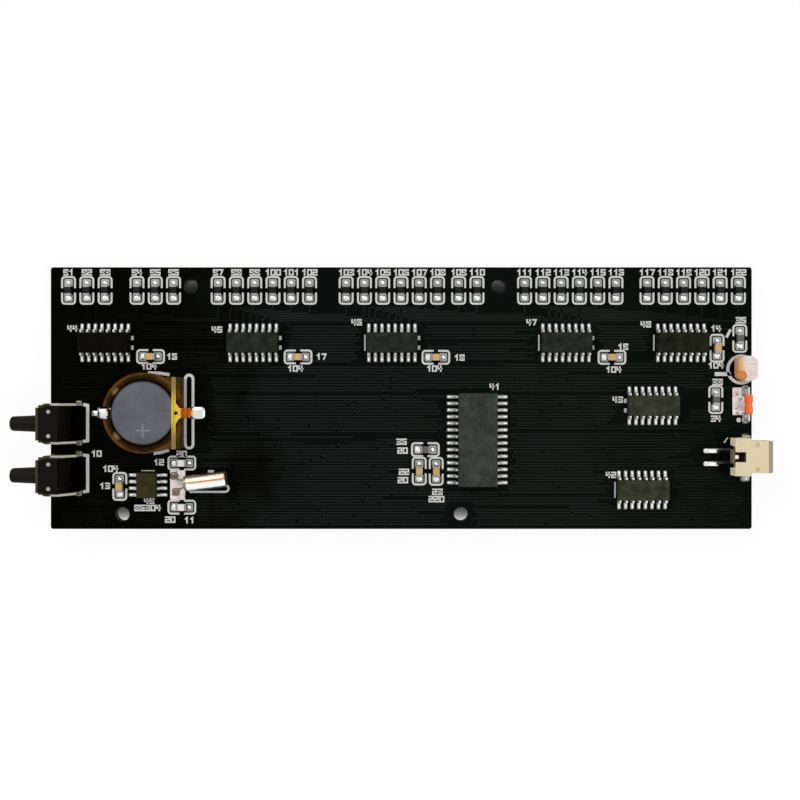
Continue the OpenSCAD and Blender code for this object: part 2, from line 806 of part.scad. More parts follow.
module power_header_pins() {
    half = pin_t / 2;
    bend = header_undercut - half;
    color("#c9c9c4") at_header() for (s = [-1, 1]) translate([0, s * pin_pitch / 2, 0])
        across_y(pin_t) polygon([
            [pin_inside, pin_z + half], [pin_inside, pin_z - half], [bend, pin_z - half],
            [bend - pin_t, 0], [-pin_tail, 0], [-pin_tail, pin_t],
            [bend - 2 * pin_t, pin_t], [bend - pin_t, pin_z + half]
        ]);
}

module power_header_anchors() {
    color("#c9c9c4") at_header() for (s = [-1, 1])
        block([anchor_l, anchor_t, anchor_h],
            [anchor_from + anchor_l / 2, s * (header_w / 2 + anchor_t / 2), 0]);
}

// Round sensor disc with two flats, seen from above
module light_outline(l, w) {
    intersection() {
        circle(d = l);
        square([w, l], center = true);
    }
}

module light_sensor_disc() {
    color("#d5c2a4") on_rear([light_x, light_y]) translate([0, 0, light_standoff])
        linear_extrude(light_t - light_pane_t) light_outline(light_l, light_w);
}

module light_sensor_pane() {
    color("#e08a3c") on_rear([light_x, light_y]) translate([0, 0, light_standoff + light_t - light_pane_t])
        linear_extrude(light_pane_t) light_outline(light_l - 2 * light_pane_t, light_w - 2 * light_pane_t);
}

module light_sensor_leads() {
    below = board_t + lead_below;
    color("#c9c9c4") for (p = light_holes()) on_rear(p) translate([0, 0, -below])
        cylinder(d = sensor_lead_d, h = below + light_standoff);
}

module temperature_bead() {
    half = bead_l / 2;
    color("#e8622a") on_rear([bead_x, bead_y]) translate([0, 0, bead_z]) rotate([90, 0, 0])
        rotate_extrude() difference() {
            union() {
                translate([0, -half]) square([bead_d / 2 - bead_round, bead_l]);
                translate([0, -half + bead_round]) square([bead_d / 2, bead_l - 2 * bead_round]);
                for (s = [-1, 1]) translate([bead_d / 2 - bead_round, s * (half - bead_round)])
                    circle(r = bead_round);
            }
            translate([bead_d / 2 - bead_waist + bead_waist_r, 0]) circle(r = bead_waist_r);
        }
}

module temperature_leads() {
    below = board_t + lead_below;
    color("#c9c9c4") on_rear([bead_x, bead_y]) for (s = [0, 180]) rotate([0, 0, s]) {
        translate([0, bead_l / 2, bead_z]) rotate([-90, 0, 0])
            cylinder(d = sensor_lead_d, h = (bead_hole_spacing - bead_l) / 2);
        translate([0, bead_hole_spacing / 2, bead_z]) sphere(d = sensor_lead_d);
        translate([0, bead_hole_spacing / 2, -below]) cylinder(d = sensor_lead_d, h = below + bead_z);
    }
}

circuit_board();
lamp_block(1);  // lamp_block_1
lamp_block(2);  // lamp_block_2
lamp_block(3);  // lamp_block_3
lamp_block(4);  // lamp_block_4
lamp_fillings();
column_resistors();
column_resistor_caps();
small_resistor_bodies();  // small_resistors
small_resistor_caps();
decoupling_capacitor_bodies();  // decoupling_capacitors
load_capacitor_bodies();  // load_capacitors
capacitor_caps();
driver(column_driver_at(0));  // column_driver_1
driver(column_driver_at(1));  // column_driver_2
driver(column_driver_at(2));  // column_driver_3
driver(column_driver_at(3));  // column_driver_4
driver(row_driver_at);  // row_driver
driver(row_sink_1_at);  // row_sink_1
driver(row_sink_2_at);  // row_sink_2
driver_leads(column_driver_at(0));  // column_driver_1_leads
driver_leads(column_driver_at(1));  // column_driver_2_leads
driver_leads(column_driver_at(2));  // column_driver_3_leads
driver_leads(column_driver_at(3));  // column_driver_4_leads
driver_leads(row_driver_at);  // row_driver_leads
driver_leads(row_sink_1_at);  // row_sink_1_leads
driver_leads(row_sink_2_at);  // row_sink_2_leads
controller();
controller_leads();
clock_chip();
clock_chip_leads();
crystal_can();
crystal_stem();
crystal_leads();
battery_holder();
coin_cell_can();
coin_cell_gasket();
coin_cell_cap();
positive_contact();
negative_contact();
button_plunger(0);  // upper_button_plunger
button_housing(0);  // upper_button_housing
button_bracket(0);  // upper_button_bracket
button_dome(0);  // upper_button_dome
button_terminals(0);  // upper_button_terminals
button_plunger(1);  // lower_button_plunger
button_housing(1);  // lower_button_housing
button_bracket(1);  // lower_button_bracket
button_dome(1);  // lower_button_dome
button_terminals(1);  // lower_button_terminals
power_header_housing();
power_header_pins();
power_header_anchors();
light_sensor_disc();
light_sensor_pane();
light_sensor_leads();
temperature_bead();
temperature_leads();
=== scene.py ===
"""Looks of a bare LED dot matrix clock board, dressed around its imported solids.

Sizes are in millimetres on the frame's own axes: X along the board, Y across it and Z out of its
component side. They become metres only where a mesh is made.
"""

import logging
import math
import random
from dataclasses import dataclass, field
from enum import Enum
from typing import Iterable, Mapping, Optional, Sequence, Union

import bmesh
import bpy
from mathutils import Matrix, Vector


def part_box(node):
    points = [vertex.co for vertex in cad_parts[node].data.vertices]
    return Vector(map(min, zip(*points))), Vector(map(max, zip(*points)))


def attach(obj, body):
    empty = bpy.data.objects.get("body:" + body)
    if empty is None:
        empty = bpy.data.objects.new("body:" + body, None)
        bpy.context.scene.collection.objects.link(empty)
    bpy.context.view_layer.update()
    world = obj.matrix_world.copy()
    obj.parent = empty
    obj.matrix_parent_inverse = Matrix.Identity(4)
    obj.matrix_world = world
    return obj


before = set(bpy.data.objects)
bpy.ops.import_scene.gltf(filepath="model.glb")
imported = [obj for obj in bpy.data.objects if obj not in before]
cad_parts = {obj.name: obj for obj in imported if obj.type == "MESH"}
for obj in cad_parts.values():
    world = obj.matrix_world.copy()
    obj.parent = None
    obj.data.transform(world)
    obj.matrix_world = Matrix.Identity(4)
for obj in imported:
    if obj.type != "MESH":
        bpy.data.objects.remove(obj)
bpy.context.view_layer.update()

LOG = logging.getLogger("clock_board")
MM = 0.001
BODY = "board"

Pair = tuple[float, float]
Point = Pair
Triple = tuple[float, float, float]
Colour = tuple[float, float, float, float]
Level = Union["Wire", float]
Key = Union[int, str]


class Slot(Enum):
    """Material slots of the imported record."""

    BOARD = "board"
    TIN = "tin"
    LEADS = "leads"
    CELL = "cell"
    GILT = "gilt"
    BRACKET = "bracket"
    HEADER = "header"


class Edge(Enum):
    """Widths of the broken edges of dressed solids."""

    SHARP = 0.0
    STAMPED = 0.04
    MOULDED = 0.05
    EASED = 0.06
    SOFT = 0.08
    HOUSING = 0.1
    HOLDER = 0.22


class Form(Enum):
    """Shapes that are stamped over and over."""

    LAND = "land"
    MOUND = "mound"
    RING = "ring"
    BLOCK = "block"


# Frame

@dataclass(frozen=True)
class Box:
    """Lowest and highest corner of a solid at rest."""

    low: Vector
    high: Vector

    @property
    def middle(self) -> Vector:
        """Middle of the box."""
        return (self.low + self.high) / 2

    @property
    def size(self) -> Vector:
        """Length of the box along each axis."""
        return self.high - self.low


def node_box(node: str) -> Box:
    """Box of a whole node.

    Args:
        node: Name of the node.

    Returns:
        Its box, in millimetres.
    """
    low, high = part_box(node)
    return Box(low / MM, high / MM)


def solids(node: str) -> list[Box]:
    """Boxes of the separate solids in a node.

    Args:
        node: Name of the node.

    Returns:
        One box for each solid, from left to right and then upwards.
    """
    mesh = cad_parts[node].data
    places = [tuple(round(c / MM, 3) for c in vertex.co) for vertex in mesh.vertices]
    leader = {place: place for place in places}

    def root(place: tuple) -> tuple:
        """Place that stands for all those joined to this one."""
        while leader[place] != place:
            leader[place] = leader[leader[place]]
            place = leader[place]
        return place

    for polygon in mesh.polygons:
        first, *others = (places[i] for i in polygon.vertices)
        for other in others:
            leader[root(other)] = root(first)
    groups: dict[tuple, list[tuple]] = {}
    for place in leader:
        groups.setdefault(root(place), []).append(place)
    boxes = [
        Box(Vector([min(axis) for axis in zip(*group)]), Vector([max(axis) for axis in zip(*group)]))
        for group in groups.values()
    ]
    return sorted(boxes, key=lambda box: (round(box.middle.x, 2), box.middle.y))


BOARD = node_box("circuit_board")
REAR = BOARD.high.z
FRONT = BOARD.low.z


def across(box: Box) -> Point:
    """Middle of a box on the board."""
    return (box.middle.x, box.middle.y)


def on_board(x: float, y: float) -> Vector:
    """Place on the component side, from the board's middle."""
    return Vector((BOARD.middle.x + x, y, REAR))


@dataclass(frozen=True)
class ChipPart:
    """A chip resistor or capacitor: its middle and the way it lies."""

    middle: Vector
    along: Vector

    def place(self, along: float, across: float) -> Point:
        """Point on the board beside the part, from its middle."""
        side = Vector((-self.along.y, self.along.x, 0))
        spot = self.middle + self.along * along + side * across
        return (spot.x, spot.y)

    @property
    def turn(self) -> float:
        """Angle of the part on the board."""
        return math.atan2(self.along.y, self.along.x)


def chip_parts(bodies: str, caps: str) -> list[ChipPart]:
    """Chip parts of a node, which lie the way their two nearest end caps do.

    Args:
        bodies: Node of the parts' bodies.
        caps: Node of their end caps.

    Returns:
        The parts, from left to right.
    """
    ends = solids(caps)
    parts = []
    for body in solids(bodies):
        near = sorted(ends, key=lambda end: (end.middle - body.middle).length)[:2]
        along = near[1].middle - near[0].middle
        upright = abs(along.y) > abs(along.x)
        parts.append(ChipPart(body.middle, Vector((0, 1, 0) if upright else (1, 0, 0))))
    return parts


@dataclass(frozen=True)
class Lead:
    """Foot of a package's lead: the middle of its tip, and the way that it points."""

    tip: Vector
    out: Vector


def feet(package: str) -> list[Lead]:
    """Feet of a package's leads.

    Args:
        package: Node of the package, whose leads are in the node beside it.

    Returns:
        One lead for each foot.
    """
    middle = node_box(package).middle
    found = []
    for lead in solids(f"{package}_leads"):
        axis = 0 if lead.size.x > lead.size.y else 1
        sign = math.copysign(1, lead.middle[axis] - middle[axis])
        tip = lead.middle.copy()
        tip[axis] = lead.high[axis] if sign > 0 else lead.low[axis]
        tip.z = REAR
        out = Vector((0, 0, 0))
        out[axis] = sign
        found.append(Lead(tip, out))
    return found


# Node trees

class Wire:
    """One output socket, whose arithmetic adds Math nodes to its tree."""

    def __init__(self, bench: "Bench", socket: bpy.types.NodeSocket) -> None:
        """Keeps the socket and its bench."""
        self.bench = bench
        self.socket = socket

    def math(self, operation: str, first: Level, second: Level = 0.0) -> "Wire":
        """Adds one Math node.

        Args:
            operation: Operation of the node.
            first: First operand.
            second: Second operand.

        Returns:
            The node's value.
        """
        return self.bench.node("ShaderNodeMath", {"operation": operation}, {0: first, 1: second})

    def __add__(self, other: Level) -> "Wire":
        """Sum."""
        return self.math("ADD", self, other)

    def __radd__(self, other: Level) -> "Wire":
        """Sum with a number first."""
        return self.math("ADD", other, self)

    def __sub__(self, other: Level) -> "Wire":
        """Difference."""
        return self.math("SUBTRACT", self, other)

    def __rsub__(self, other: Level) -> "Wire":
        """Difference from a number."""
        return self.math("SUBTRACT", other, self)

    def __mul__(self, other: Level) -> "Wire":
        """Product."""
        return self.math("MULTIPLY", self, other)

    def __rmul__(self, other: Level) -> "Wire":
        """Product with a number first."""
        return self.math("MULTIPLY", other, self)

    def __gt__(self, other: Level) -> "Wire":
        """One where this is the larger, and zero elsewhere."""
        return self.math("GREATER_THAN", self, other)

    def __abs__(self) -> "Wire":
        """Size without sign."""
        return self.math("ABSOLUTE", self)

    def swing(self) -> "Wire":
        """Sine."""
        return self.math("SINE", self)

    def about(self, amount: float) -> "Wire":
        """Swing of an amount about zero, from a value around one half."""
        return (self - 0.5) * amount

    def spread(self, gain: float, less: float) -> "Wire":
        """Value times a gain, less a level."""
        return self * gain - less


class Bench:
    """A node tree that is being put together."""

    def __init__(self, tree: bpy.types.NodeTree) -> None:
        """Keeps the tree."""
        self.tree = tree

    def node(
        self,
        kind: str,
        settings: Optional[Mapping[str, object]] = None,
        sockets: Optional[Mapping[Key, object]] = None,
        output: Key = 0,
    ) -> Wire:
        """Adds any node.

        Args:
            kind: Type of the node.
            settings: Its own settings, which are set first. The stops of a ramp are pairs under "stops".
            sockets: Values or wires of its inputs, by name or number.
            output: Name or number of the output that is wanted.

        Returns:
            That output.
        """
        made = self.tree.nodes.new(kind)
        for key, value in (settings or {}).items():
            if key == "stops":
                while len(made.color_ramp.elements) < len(value):
                    made.color_ramp.elements.new(1.0)
                for element, (position, colour) in zip(made.color_ramp.elements, value):
                    element.position = position
                    element.color = colour
            else:
                setattr(made, key, value)
        for key, value in (sockets or {}).items():
            if isinstance(value, Wire):
                self.tree.links.new(value.socket, made.inputs[key])
            else:
                made.inputs[key].default_value = value
        return Wire(self, made.outputs[output])

    def seen(self) -> Wire:
        """One for rays from the camera, reflections and clear stuff, and zero for light."""
        rays = [
            self.node("ShaderNodeLightPath", output=f"Is {kind} Ray")
            for kind in ("Camera", "Glossy", "Transmission")
        ]
        return rays[0] + rays[1] + rays[2]


class Shade(Bench):
    """The nodes of one material, on Object coordinates."""

    def __init__(self, name: str) -> None:
        """Makes an empty material."""
        self.material = bpy.data.materials.new(name)
        self.material.use_nodes = True
        super().__init__(self.material.node_tree)
        self.tree.nodes.clear()
        self.place = self.node("ShaderNodeTexCoord", output="Object")

    def noise(self, size: float, detail: float = 3.0, stretch: Sequence[float] = (1, 1, 1)) -> Wire:
        """Cloudy values around one half.

        Args:
            size: Size of a cloud, in millimetres.
            detail: How many finer clouds lie in it.
            stretch: Scale along each axis, where a small one draws the clouds out.

        Returns:
            The value.
        """
        place = self.node("ShaderNodeMapping", {}, {"Vector": self.place, "Scale": stretch})
        sockets = {"Vector": place, "Scale": 1 / (size * MM), "Detail": detail}
        return self.node("ShaderNodeTexNoise", {}, sockets)

    def mixture(self, grain: Wire, clouds: Wire, shares: Triple) -> Wire:
        """Grain and clouds together.

        Args:
            grain: Fine grain.
            clouds: Wider clouds.
            shares: Share of the grain, share of the clouds, and the level that is taken off.

        Returns:
            The value.
        """
        return grain * shares[0] + clouds * shares[1] - shares[2]

    def axis(self, name: str) -> Wire:
        """One Object coordinate, in millimetres."""
        return self.node("ShaderNodeSeparateXYZ", {}, {0: self.place}, name) * (1 / MM)

    def facing(self, name: str) -> Wire:
        """One part of the surface's normal."""
        normal = self.node("ShaderNodeNewGeometry", output="Normal")
        return self.node("ShaderNodeSeparateXYZ", {}, {0: normal}, name)

    def blend(self, share: Level, first: object, second: object) -> Wire:
        """Colour between two colours.

        Args:
            share: Share of the second colour.
            first: Colour or wire at zero.
            second: Colour or wire at one.

        Returns:
            The colour.
        """
        return self.node("ShaderNodeMix", {"data_type": "RGBA"}, {0: share, 6: first, 7: second}, 2)

    def ramp(self, value: Wire, stops: Sequence[tuple[float, Colour]]) -> Wire:
        """Colour along a row of stops.

        Args:
            value: Place along the row, from zero to one.
            stops: Place and colour of each stop.

        Returns:
            The colour.
        """
        return self.node("ShaderNodeValToRGB", {"stops": stops}, {0: value})

    def reach(self, middle: Point) -> Wire:
        """Distance from an upright axis, in millimetres.

        Args:
            middle: Place of the axis on the board.

        Returns:
            The distance.
        """
        flat = self.node("ShaderNodeVectorMath", {"operation": "MULTIPLY"}, {0: self.place, 1: (1, 1, 0)})
        axis = (middle[0] * MM, middle[1] * MM, 0)
        apart = self.node("ShaderNodeVectorMath", {"operation": "DISTANCE"}, {0: flat, 1: axis}, "Value")
        return apart * (1 / MM)

    def relief(self, height: Wire, depth: float, strength: float) -> Wire:
        """Normal of a surface with fine relief.

        Args:
            height: Height from zero to one.
            depth: Depth of the relief, in millimetres.
            strength: Strength of the bump.

        Returns:
            The normal.
        """
        return self.node(
            "ShaderNodeBump", {}, {"Strength": strength, "Distance": depth * MM, "Height": height}, "Normal"
        )

    def surface(self, sockets: Mapping[Key, object]) -> bpy.types.Material:
        """Ends the material in one surface.

        Args:
            sockets: Values or wires of the surface's inputs.

        Returns:
            The material.
        """
        end = self.node("ShaderNodeBsdfPrincipled", {}, sockets)
        self.node_out(end)
        return self.material

    def node_out(self, shader: Wire) -> None:
        """Joins a shader to the material's output."""
        output = self.tree.nodes.new("ShaderNodeOutputMaterial")
        self.tree.links.new(shader.socket, output.inputs["Surface"])


# Finishes

def tone(red: int, green: int, blue: int) -> Colour:
    """Colour as it shows on a screen, from 0 to 255, made linear."""
    def linear(value: int) -> float:
        """One channel."""
        share = value / 255
        return share / 12.92 if share <= 0.04045 else ((share + 0.055) / 1.055) ** 2.4

    return (linear(red), linear(green), linear(blue), 1.0)


@dataclass(frozen=True)
class Finish:
    """A finish, whose material is made once."""

    name: str

    def material(self) -> bpy.types.Material:
        """The finish's material."""
        return bpy.data.materials.get(self.name) or self.make(Shade(self.name))

    def make(self, shade: Shade) -> bpy.types.Material:
        """Makes the material in an empty tree."""
        raise NotImplementedError


@dataclass(frozen=True)
class SolderMask(Finish):
    """Black mask over glass cloth, whose cut edges show the cloth's resin. Its colour along the board is
    painted light, darkest at the left end.
    """

    # Colour of the mask from the board's left end to its right: painted light.
    stops: tuple[tuple[float, Colour], ...] = (
        (0.0, tone(1, 1, 0)), (0.2, tone(3, 3, 1)), (0.36, tone(9, 12, 11)), (0.75, tone(9, 15, 12)),
        (1.0, tone(4, 9, 5)),
    )
    edge: Colour = tone(54, 50, 34)
    fibre: Colour = tone(92, 86, 60)
    half_length: float = 66.0
    cloud: float = 9.0
    blotch: float = 0.5
    cloth: float = 0.55
    strand: float = 0.12
    strand_stretch: Triple = (1, 1, 0.2)
    level: float = 0.5
    woven: float = 0.35
    speck: float = 0.3
    depth: float = 0.006
    strength: float = 0.35
    cut_rough: float = 0.62
    gloss: float = 0.3
    swing: float = 0.12
    shine: float = 0.012

    def make(self, shade: Shade) -> bpy.types.Material:
        """Makes the material in an empty tree."""
        # Painted light along the board: the mask's colour follows its place from left to right.
        run = shade.axis("X") * (0.5 / self.half_length) + 0.5
        clouds = shade.noise(self.cloud, detail=4.0)
        mask = shade.ramp(run + clouds.about(self.blotch), self.stops)
        flat = abs(shade.facing("Z")) > self.level
        fibres = shade.noise(self.strand, detail=2.0, stretch=self.strand_stretch)
        resin = shade.blend(fibres, self.edge, self.fibre)
        turns = math.tau / self.cloth
        weave = (shade.axis("X") * turns).swing() * (shade.axis("Y") * turns).swing()
        rough = self.cut_rough - flat * (self.cut_rough - self.gloss)
        height = weave * self.woven + shade.noise(self.speck)
        return shade.surface({
            "Base Color": shade.blend(flat, resin, mask),
            "Roughness": rough + clouds.about(self.swing),
            "Specular IOR Level": self.shine,
            "Normal": shade.relief(height, self.depth, self.strength),
        })


@dataclass(frozen=True)
class Plain(Finish):
    """Moulded, glazed or printed stuff with a fine grain."""

    light: Colour
    dark: Colour
    rough: float = 0.5
    grain: float = 0.2
    depth: float = 0.01
    shine: float = 0.3
    coat: float = 0.0
    stretch: Triple = (1, 1, 1)
    mottle: float = 1.0
    cloud_over: float = 12.0
    shares: Triple = (0.45, 0.75, 0.6)
    swings: Pair = (0.25, 0.15)
    strength: float = 0.6

    def make(self, shade: Shade) -> bpy.types.Material:
        """Makes the material in an empty tree."""
        grain = shade.noise(self.grain, detail=4.0, stretch=self.stretch)
        clouds = shade.noise(self.grain * self.cloud_over, stretch=self.stretch)
        mixed = shade.mixture(grain, clouds, self.shares) * self.mottle + 0.5
        return shade.surface({
            "Base Color": shade.blend(mixed, self.dark, self.light),
            "Roughness": self.rough + grain.about(self.swings[0]) + clouds.about(self.swings[1]),
            "Specular IOR Level": self.shine,
            "Coat Weight": self.coat,
            "Normal": shade.relief(grain, self.depth, self.strength),
        })


@dataclass(frozen=True)
class Metal(Finish):
    """Bare or plated metal, brushed along the axis that its grain is drawn out on."""

    light: Colour
    dark: Colour
    rough: float = 0.3
    grain: float = 0.2
    depth: float = 0.012
    stretch: Triple = (1, 1, 1)
    tarnish: Colour = tone(120, 116, 104)
    tarnished: float = 0.25
    cloud_over: float = 9.0
    shares: Triple = (0.7, 0.5, 0.1)
    swings: Pair = (0.3, 0.16)
    strength: float = 0.7

    def make(self, shade: Shade) -> bpy.types.Material:
        """Makes the material in an empty tree."""
        grain = shade.noise(self.grain, stretch=self.stretch)
        clouds = shade.noise(self.grain * self.cloud_over)
        worn = shade.blend(clouds * grain * (2 * self.tarnished), self.light, self.tarnish)
        return shade.surface({
            "Base Color": shade.blend(shade.mixture(grain, clouds, self.shares), self.dark, worn),
            "Roughness": self.rough + grain.about(self.swings[0]) + clouds.about(self.swings[1]),
            "Metallic": 1.0,
            "Normal": shade.relief(grain, self.depth, self.strength),
        })


@dataclass(frozen=True)
class Resin(Finish):
    """Clear filling of a lamp's cup."""

    tint: Colour = tone(255, 236, 196)
    pale: Colour = tone(255, 246, 222)
    ripple: float = 0.5
    depth: float = 0.01
    strength: float = 0.3
    rough: float = 0.06
    swing: float = 0.1
    bending: float = 1.5
    clear: float = 0.85

    def make(self, shade: Shade) -> bpy.types.Material:
        """Makes the material in an empty tree."""
        ripple = shade.noise(self.ripple)
        return shade.surface({
            "Base Color": shade.blend(ripple, self.tint, self.pale),
            "Roughness": self.rough + ripple * self.swing,
            "IOR": self.bending,
            "Transmission Weight": self.clear,
            "Normal": shade.relief(ripple, self.depth, self.strength),
        })


@dataclass(frozen=True)
class FluxedInk(Finish):
    """White ink under old flux, mottled pink and brown."""

    white: Colour = tone(246, 239, 238)
    pink: Colour = tone(214, 196, 194)
    brown: Colour = tone(122, 106, 94)
    spot: float = 0.9
    least: float = 0.56
    sharp: float = 9.0
    ragged: float = 0.6
    blush: float = 1.4
    blush_spread: Pair = (2.6, 0.8)
    grain: float = 0.12
    grain_height: float = 0.3
    depth: float = 0.02
    strength: float = 0.5
    rough: float = 0.45
    swing: float = 0.3
    shine: float = 0.2

    def make(self, shade: Shade) -> bpy.types.Material:
        """Makes the material in an empty tree."""
        spots = shade.noise(self.spot)
        grain = shade.noise(self.grain)
        ink = shade.blend(shade.noise(self.blush).spread(*self.blush_spread), self.white, self.pink)
        fluxed = (spots - self.least) * self.sharp + grain.about(self.ragged)
        return shade.surface({
            "Base Color": shade.blend(fluxed, ink, self.brown),
            "Roughness": self.rough + grain.about(self.swing),
            "Specular IOR Level": self.shine,
            "Normal": shade.relief(spots + grain * self.grain_height, self.depth, self.strength),
        })


@dataclass(frozen=True)
class SensorFace(Finish):
    """Light sensor: an amber side that fades to pale ceramic."""

    middle: Point
    amber: Colour = tone(214, 158, 102)
    pale: Colour = tone(226, 222, 212)
    blush: Colour = tone(207, 187, 174)
    fade: float = 0.9
    edge: float = 0.85
    slant: float = 0.12
    turns: float = 0.7
    track_from: float = 0.3
    track_tint: float = 0.2
    upward: float = 0.9
    cloud: float = 0.8
    ragged: float = 0.8
    blush_spread: Pair = (1.8, 0.4)
    depth: float = 0.02
    strength: float = 0.5
    rough: float = 0.3
    swing: float = 0.2
    shine: float = 0.2
    coat: float = 0.15

    def make(self, shade: Shade) -> bpy.types.Material:
        """Makes the material in an empty tree."""
        clouds = shade.noise(self.cloud, detail=4.0)
        past = shade.axis("X") - self.middle[0] + self.edge
        along = shade.axis("Y") - self.middle[1]
        share = past * (1 / self.fade) + along * self.slant + 0.5 + clouds.about(self.ragged)
        wave = (shade.axis("Y") * (math.tau / self.turns)).swing()
        track = (wave > self.track_from) * (shade.facing("Z") > self.upward) * self.track_tint
        pale = shade.blend(clouds.spread(*self.blush_spread) + track, self.pale, self.blush)
        return shade.surface({
            "Base Color": shade.blend(share, self.amber, pale),
            "Roughness": self.rough + clouds * self.swing,
            "Specular IOR Level": self.shine,
            "Coat Weight": self.coat,
            "Normal": shade.relief(clouds + track, self.depth, self.strength),
        })


@dataclass(frozen=True)
class HolderPlastic(Finish):
    """Brown plastic with painted light: painted shade next to the cell, an amber painted highlight towards
    its rim and two painted highlight spots on the left of the pocket.
    """

    middle: Point
    # Colour outwards from the cell: painted shade next to it and an amber painted highlight towards the rim.
    stops: tuple[tuple[float, Colour], ...] = (
        (0.0, tone(30, 18, 7)), (0.2, tone(44, 27, 11)), (0.36, tone(78, 49, 18)), (0.5, tone(96, 66, 26)),
        (0.62, tone(70, 50, 18)), (0.85, tone(58, 45, 16)),
    )
    # Colour of the two painted highlight spots on the left of the pocket.
    worn: Colour = tone(124, 101, 62)
    inner: float = 6.4
    wide: float = 2.6
    clips: tuple[Point, ...] = ((-5.05, 4.0), (-4.85, -4.15))
    clip_r: float = 0.75
    clip_level: float = 1.3
    clip_ragged: float = 0.8
    cloud: float = 2.6
    grain: float = 0.3
    swings: Pair = (0.5, 0.1)
    depth: float = 0.01
    strength: float = 0.5
    rough: float = 0.3
    rough_swing: float = 0.16
    shine: float = 0.01

    def make(self, shade: Shade) -> bpy.types.Material:
        """Makes the material in an empty tree."""
        clouds = shade.noise(self.cloud)
        grain = shade.noise(self.grain)
        out = (shade.reach(self.middle) - self.inner) * (1 / self.wide)
        out = out + clouds.about(self.swings[0]) + grain.about(self.swings[1])
        body = shade.ramp(out, self.stops)
        # Two painted highlight spots.
        for x, y in self.clips:
            away = shade.reach((self.middle[0] + x, self.middle[1] + y)) * (1 / self.clip_r)
            near = self.clip_level - away + clouds.about(self.clip_ragged)
            body = shade.blend(near, body, self.worn)
        return shade.surface({
            "Base Color": body,
            "Roughness": self.rough + grain * self.rough_swing,
            "Specular IOR Level": self.shine,
            "Normal": shade.relief(grain, self.depth, self.strength),
        })


@dataclass(frozen=True)
class CellSteel(Finish):
    """Brushed lid of the coin cell, with painted shade where its edge turns down."""

    middle: Point
    radius: float = 5.7
    fade: float = 0.3
    face: Colour = tone(101, 103, 108)
    worn: Colour = tone(72, 74, 79)
    # Painted shade where the lid's edge turns down.
    rim: Colour = tone(34, 28, 22)
    grain: float = 0.16
    stretch: Triple = (1, 0.12, 1)
    cloud: float = 2.6
    shares: Triple = (0.5, 0.9, 0.2)
    depth: float = 0.005
    strength: float = 0.6
    rough: float = 0.42
    swing: float = 0.2

    def make(self, shade: Shade) -> bpy.types.Material:
        """Makes the material in an empty tree."""
        grain = shade.noise(self.grain, stretch=self.stretch)
        clouds = shade.noise(self.cloud)
        face = shade.blend(shade.mixture(grain, clouds, self.shares), self.worn, self.face)
        rim_shade_share = (shade.reach(self.middle) - self.radius) * (1 / self.fade)
        return shade.surface({
            "Base Color": shade.blend(rim_shade_share, face, self.rim),
            "Roughness": self.rough + grain.about(self.swing),
            "Metallic": 1.0,
            "Normal": shade.relief(grain, self.depth, self.strength),
        })


@dataclass(frozen=True)
class GiltContact(Finish):
    """Gilt strip, duller towards both ends, with red-orange painted shade along its foot."""

    foot: Point
    bright: Colour = tone(214, 182, 62)
    dull: Colour = tone(134, 114, 74)
    # Red-orange painted shade along the strip's foot.
    red: Colour = tone(178, 100, 36)
    near: float = 1.2
    fade: float = 3.6
    red_over: float = 0.4
    grain: float = 0.35
    stretch: Triple = (1, 0.3, 1)
    ragged: float = 0.5
    depth: float = 0.005
    strength: float = 0.6
    rough: float = 0.3
    swing: float = 0.2

    def make(self, shade: Shade) -> bpy.types.Material:
        """Makes the material in an empty tree."""
        grain = shade.noise(self.grain, stretch=self.stretch)
        away = (abs(shade.axis("Y") - self.foot[1]) - self.near) * (1 / self.fade)
        strip = shade.blend(away + grain.about(self.ragged), self.bright, self.dull)
        past = (shade.axis("X") - self.foot[0]) * (1 / self.red_over)
        return shade.surface({
            "Base Color": shade.blend(past + grain.about(self.ragged), strip, self.red),
            "Roughness": self.rough + grain.about(self.swing),
            "Metallic": 1.0,
            "Normal": shade.relief(grain, self.depth, self.strength),
        })


@dataclass(frozen=True)
class BracketSteel(Finish):
    """Tinned bracket, darker on its upward faces towards its front."""

    front: float
    reach: float = 2.1
    light: Colour = tone(204, 201, 193)
    dark: Colour = tone(156, 152, 144)
    # Darker colour on the upward faces near the front.
    stain: Colour = tone(66, 60, 40)
    fade: float = 0.5
    upward: float = 0.6
    grain: float = 0.12
    stretch: Triple = (0.15, 1, 1)
    grain_spread: Pair = (1.4, 0.2)
    depth: float = 0.004
    strength: float = 0.7
    rough: float = 0.34
    swing: float = 0.3

    def make(self, shade: Shade) -> bpy.types.Material:
        """Makes the material in an empty tree."""
        grain = shade.noise(self.grain, stretch=self.stretch)
        steel = shade.blend(grain.spread(*self.grain_spread), self.dark, self.light)
        front_darkening = (self.front + self.reach - shade.axis("X")) * (1 / self.fade)
        front_darkening = front_darkening.math("MINIMUM", front_darkening, 1.0) * (shade.facing("Z") > self.upward)
        return shade.surface({
            "Base Color": shade.blend(front_darkening, steel, self.stain),
            "Roughness": self.rough + grain.about(self.swing),
            "Metallic": 1.0,
            "Normal": shade.relief(grain, self.depth, self.strength),
        })


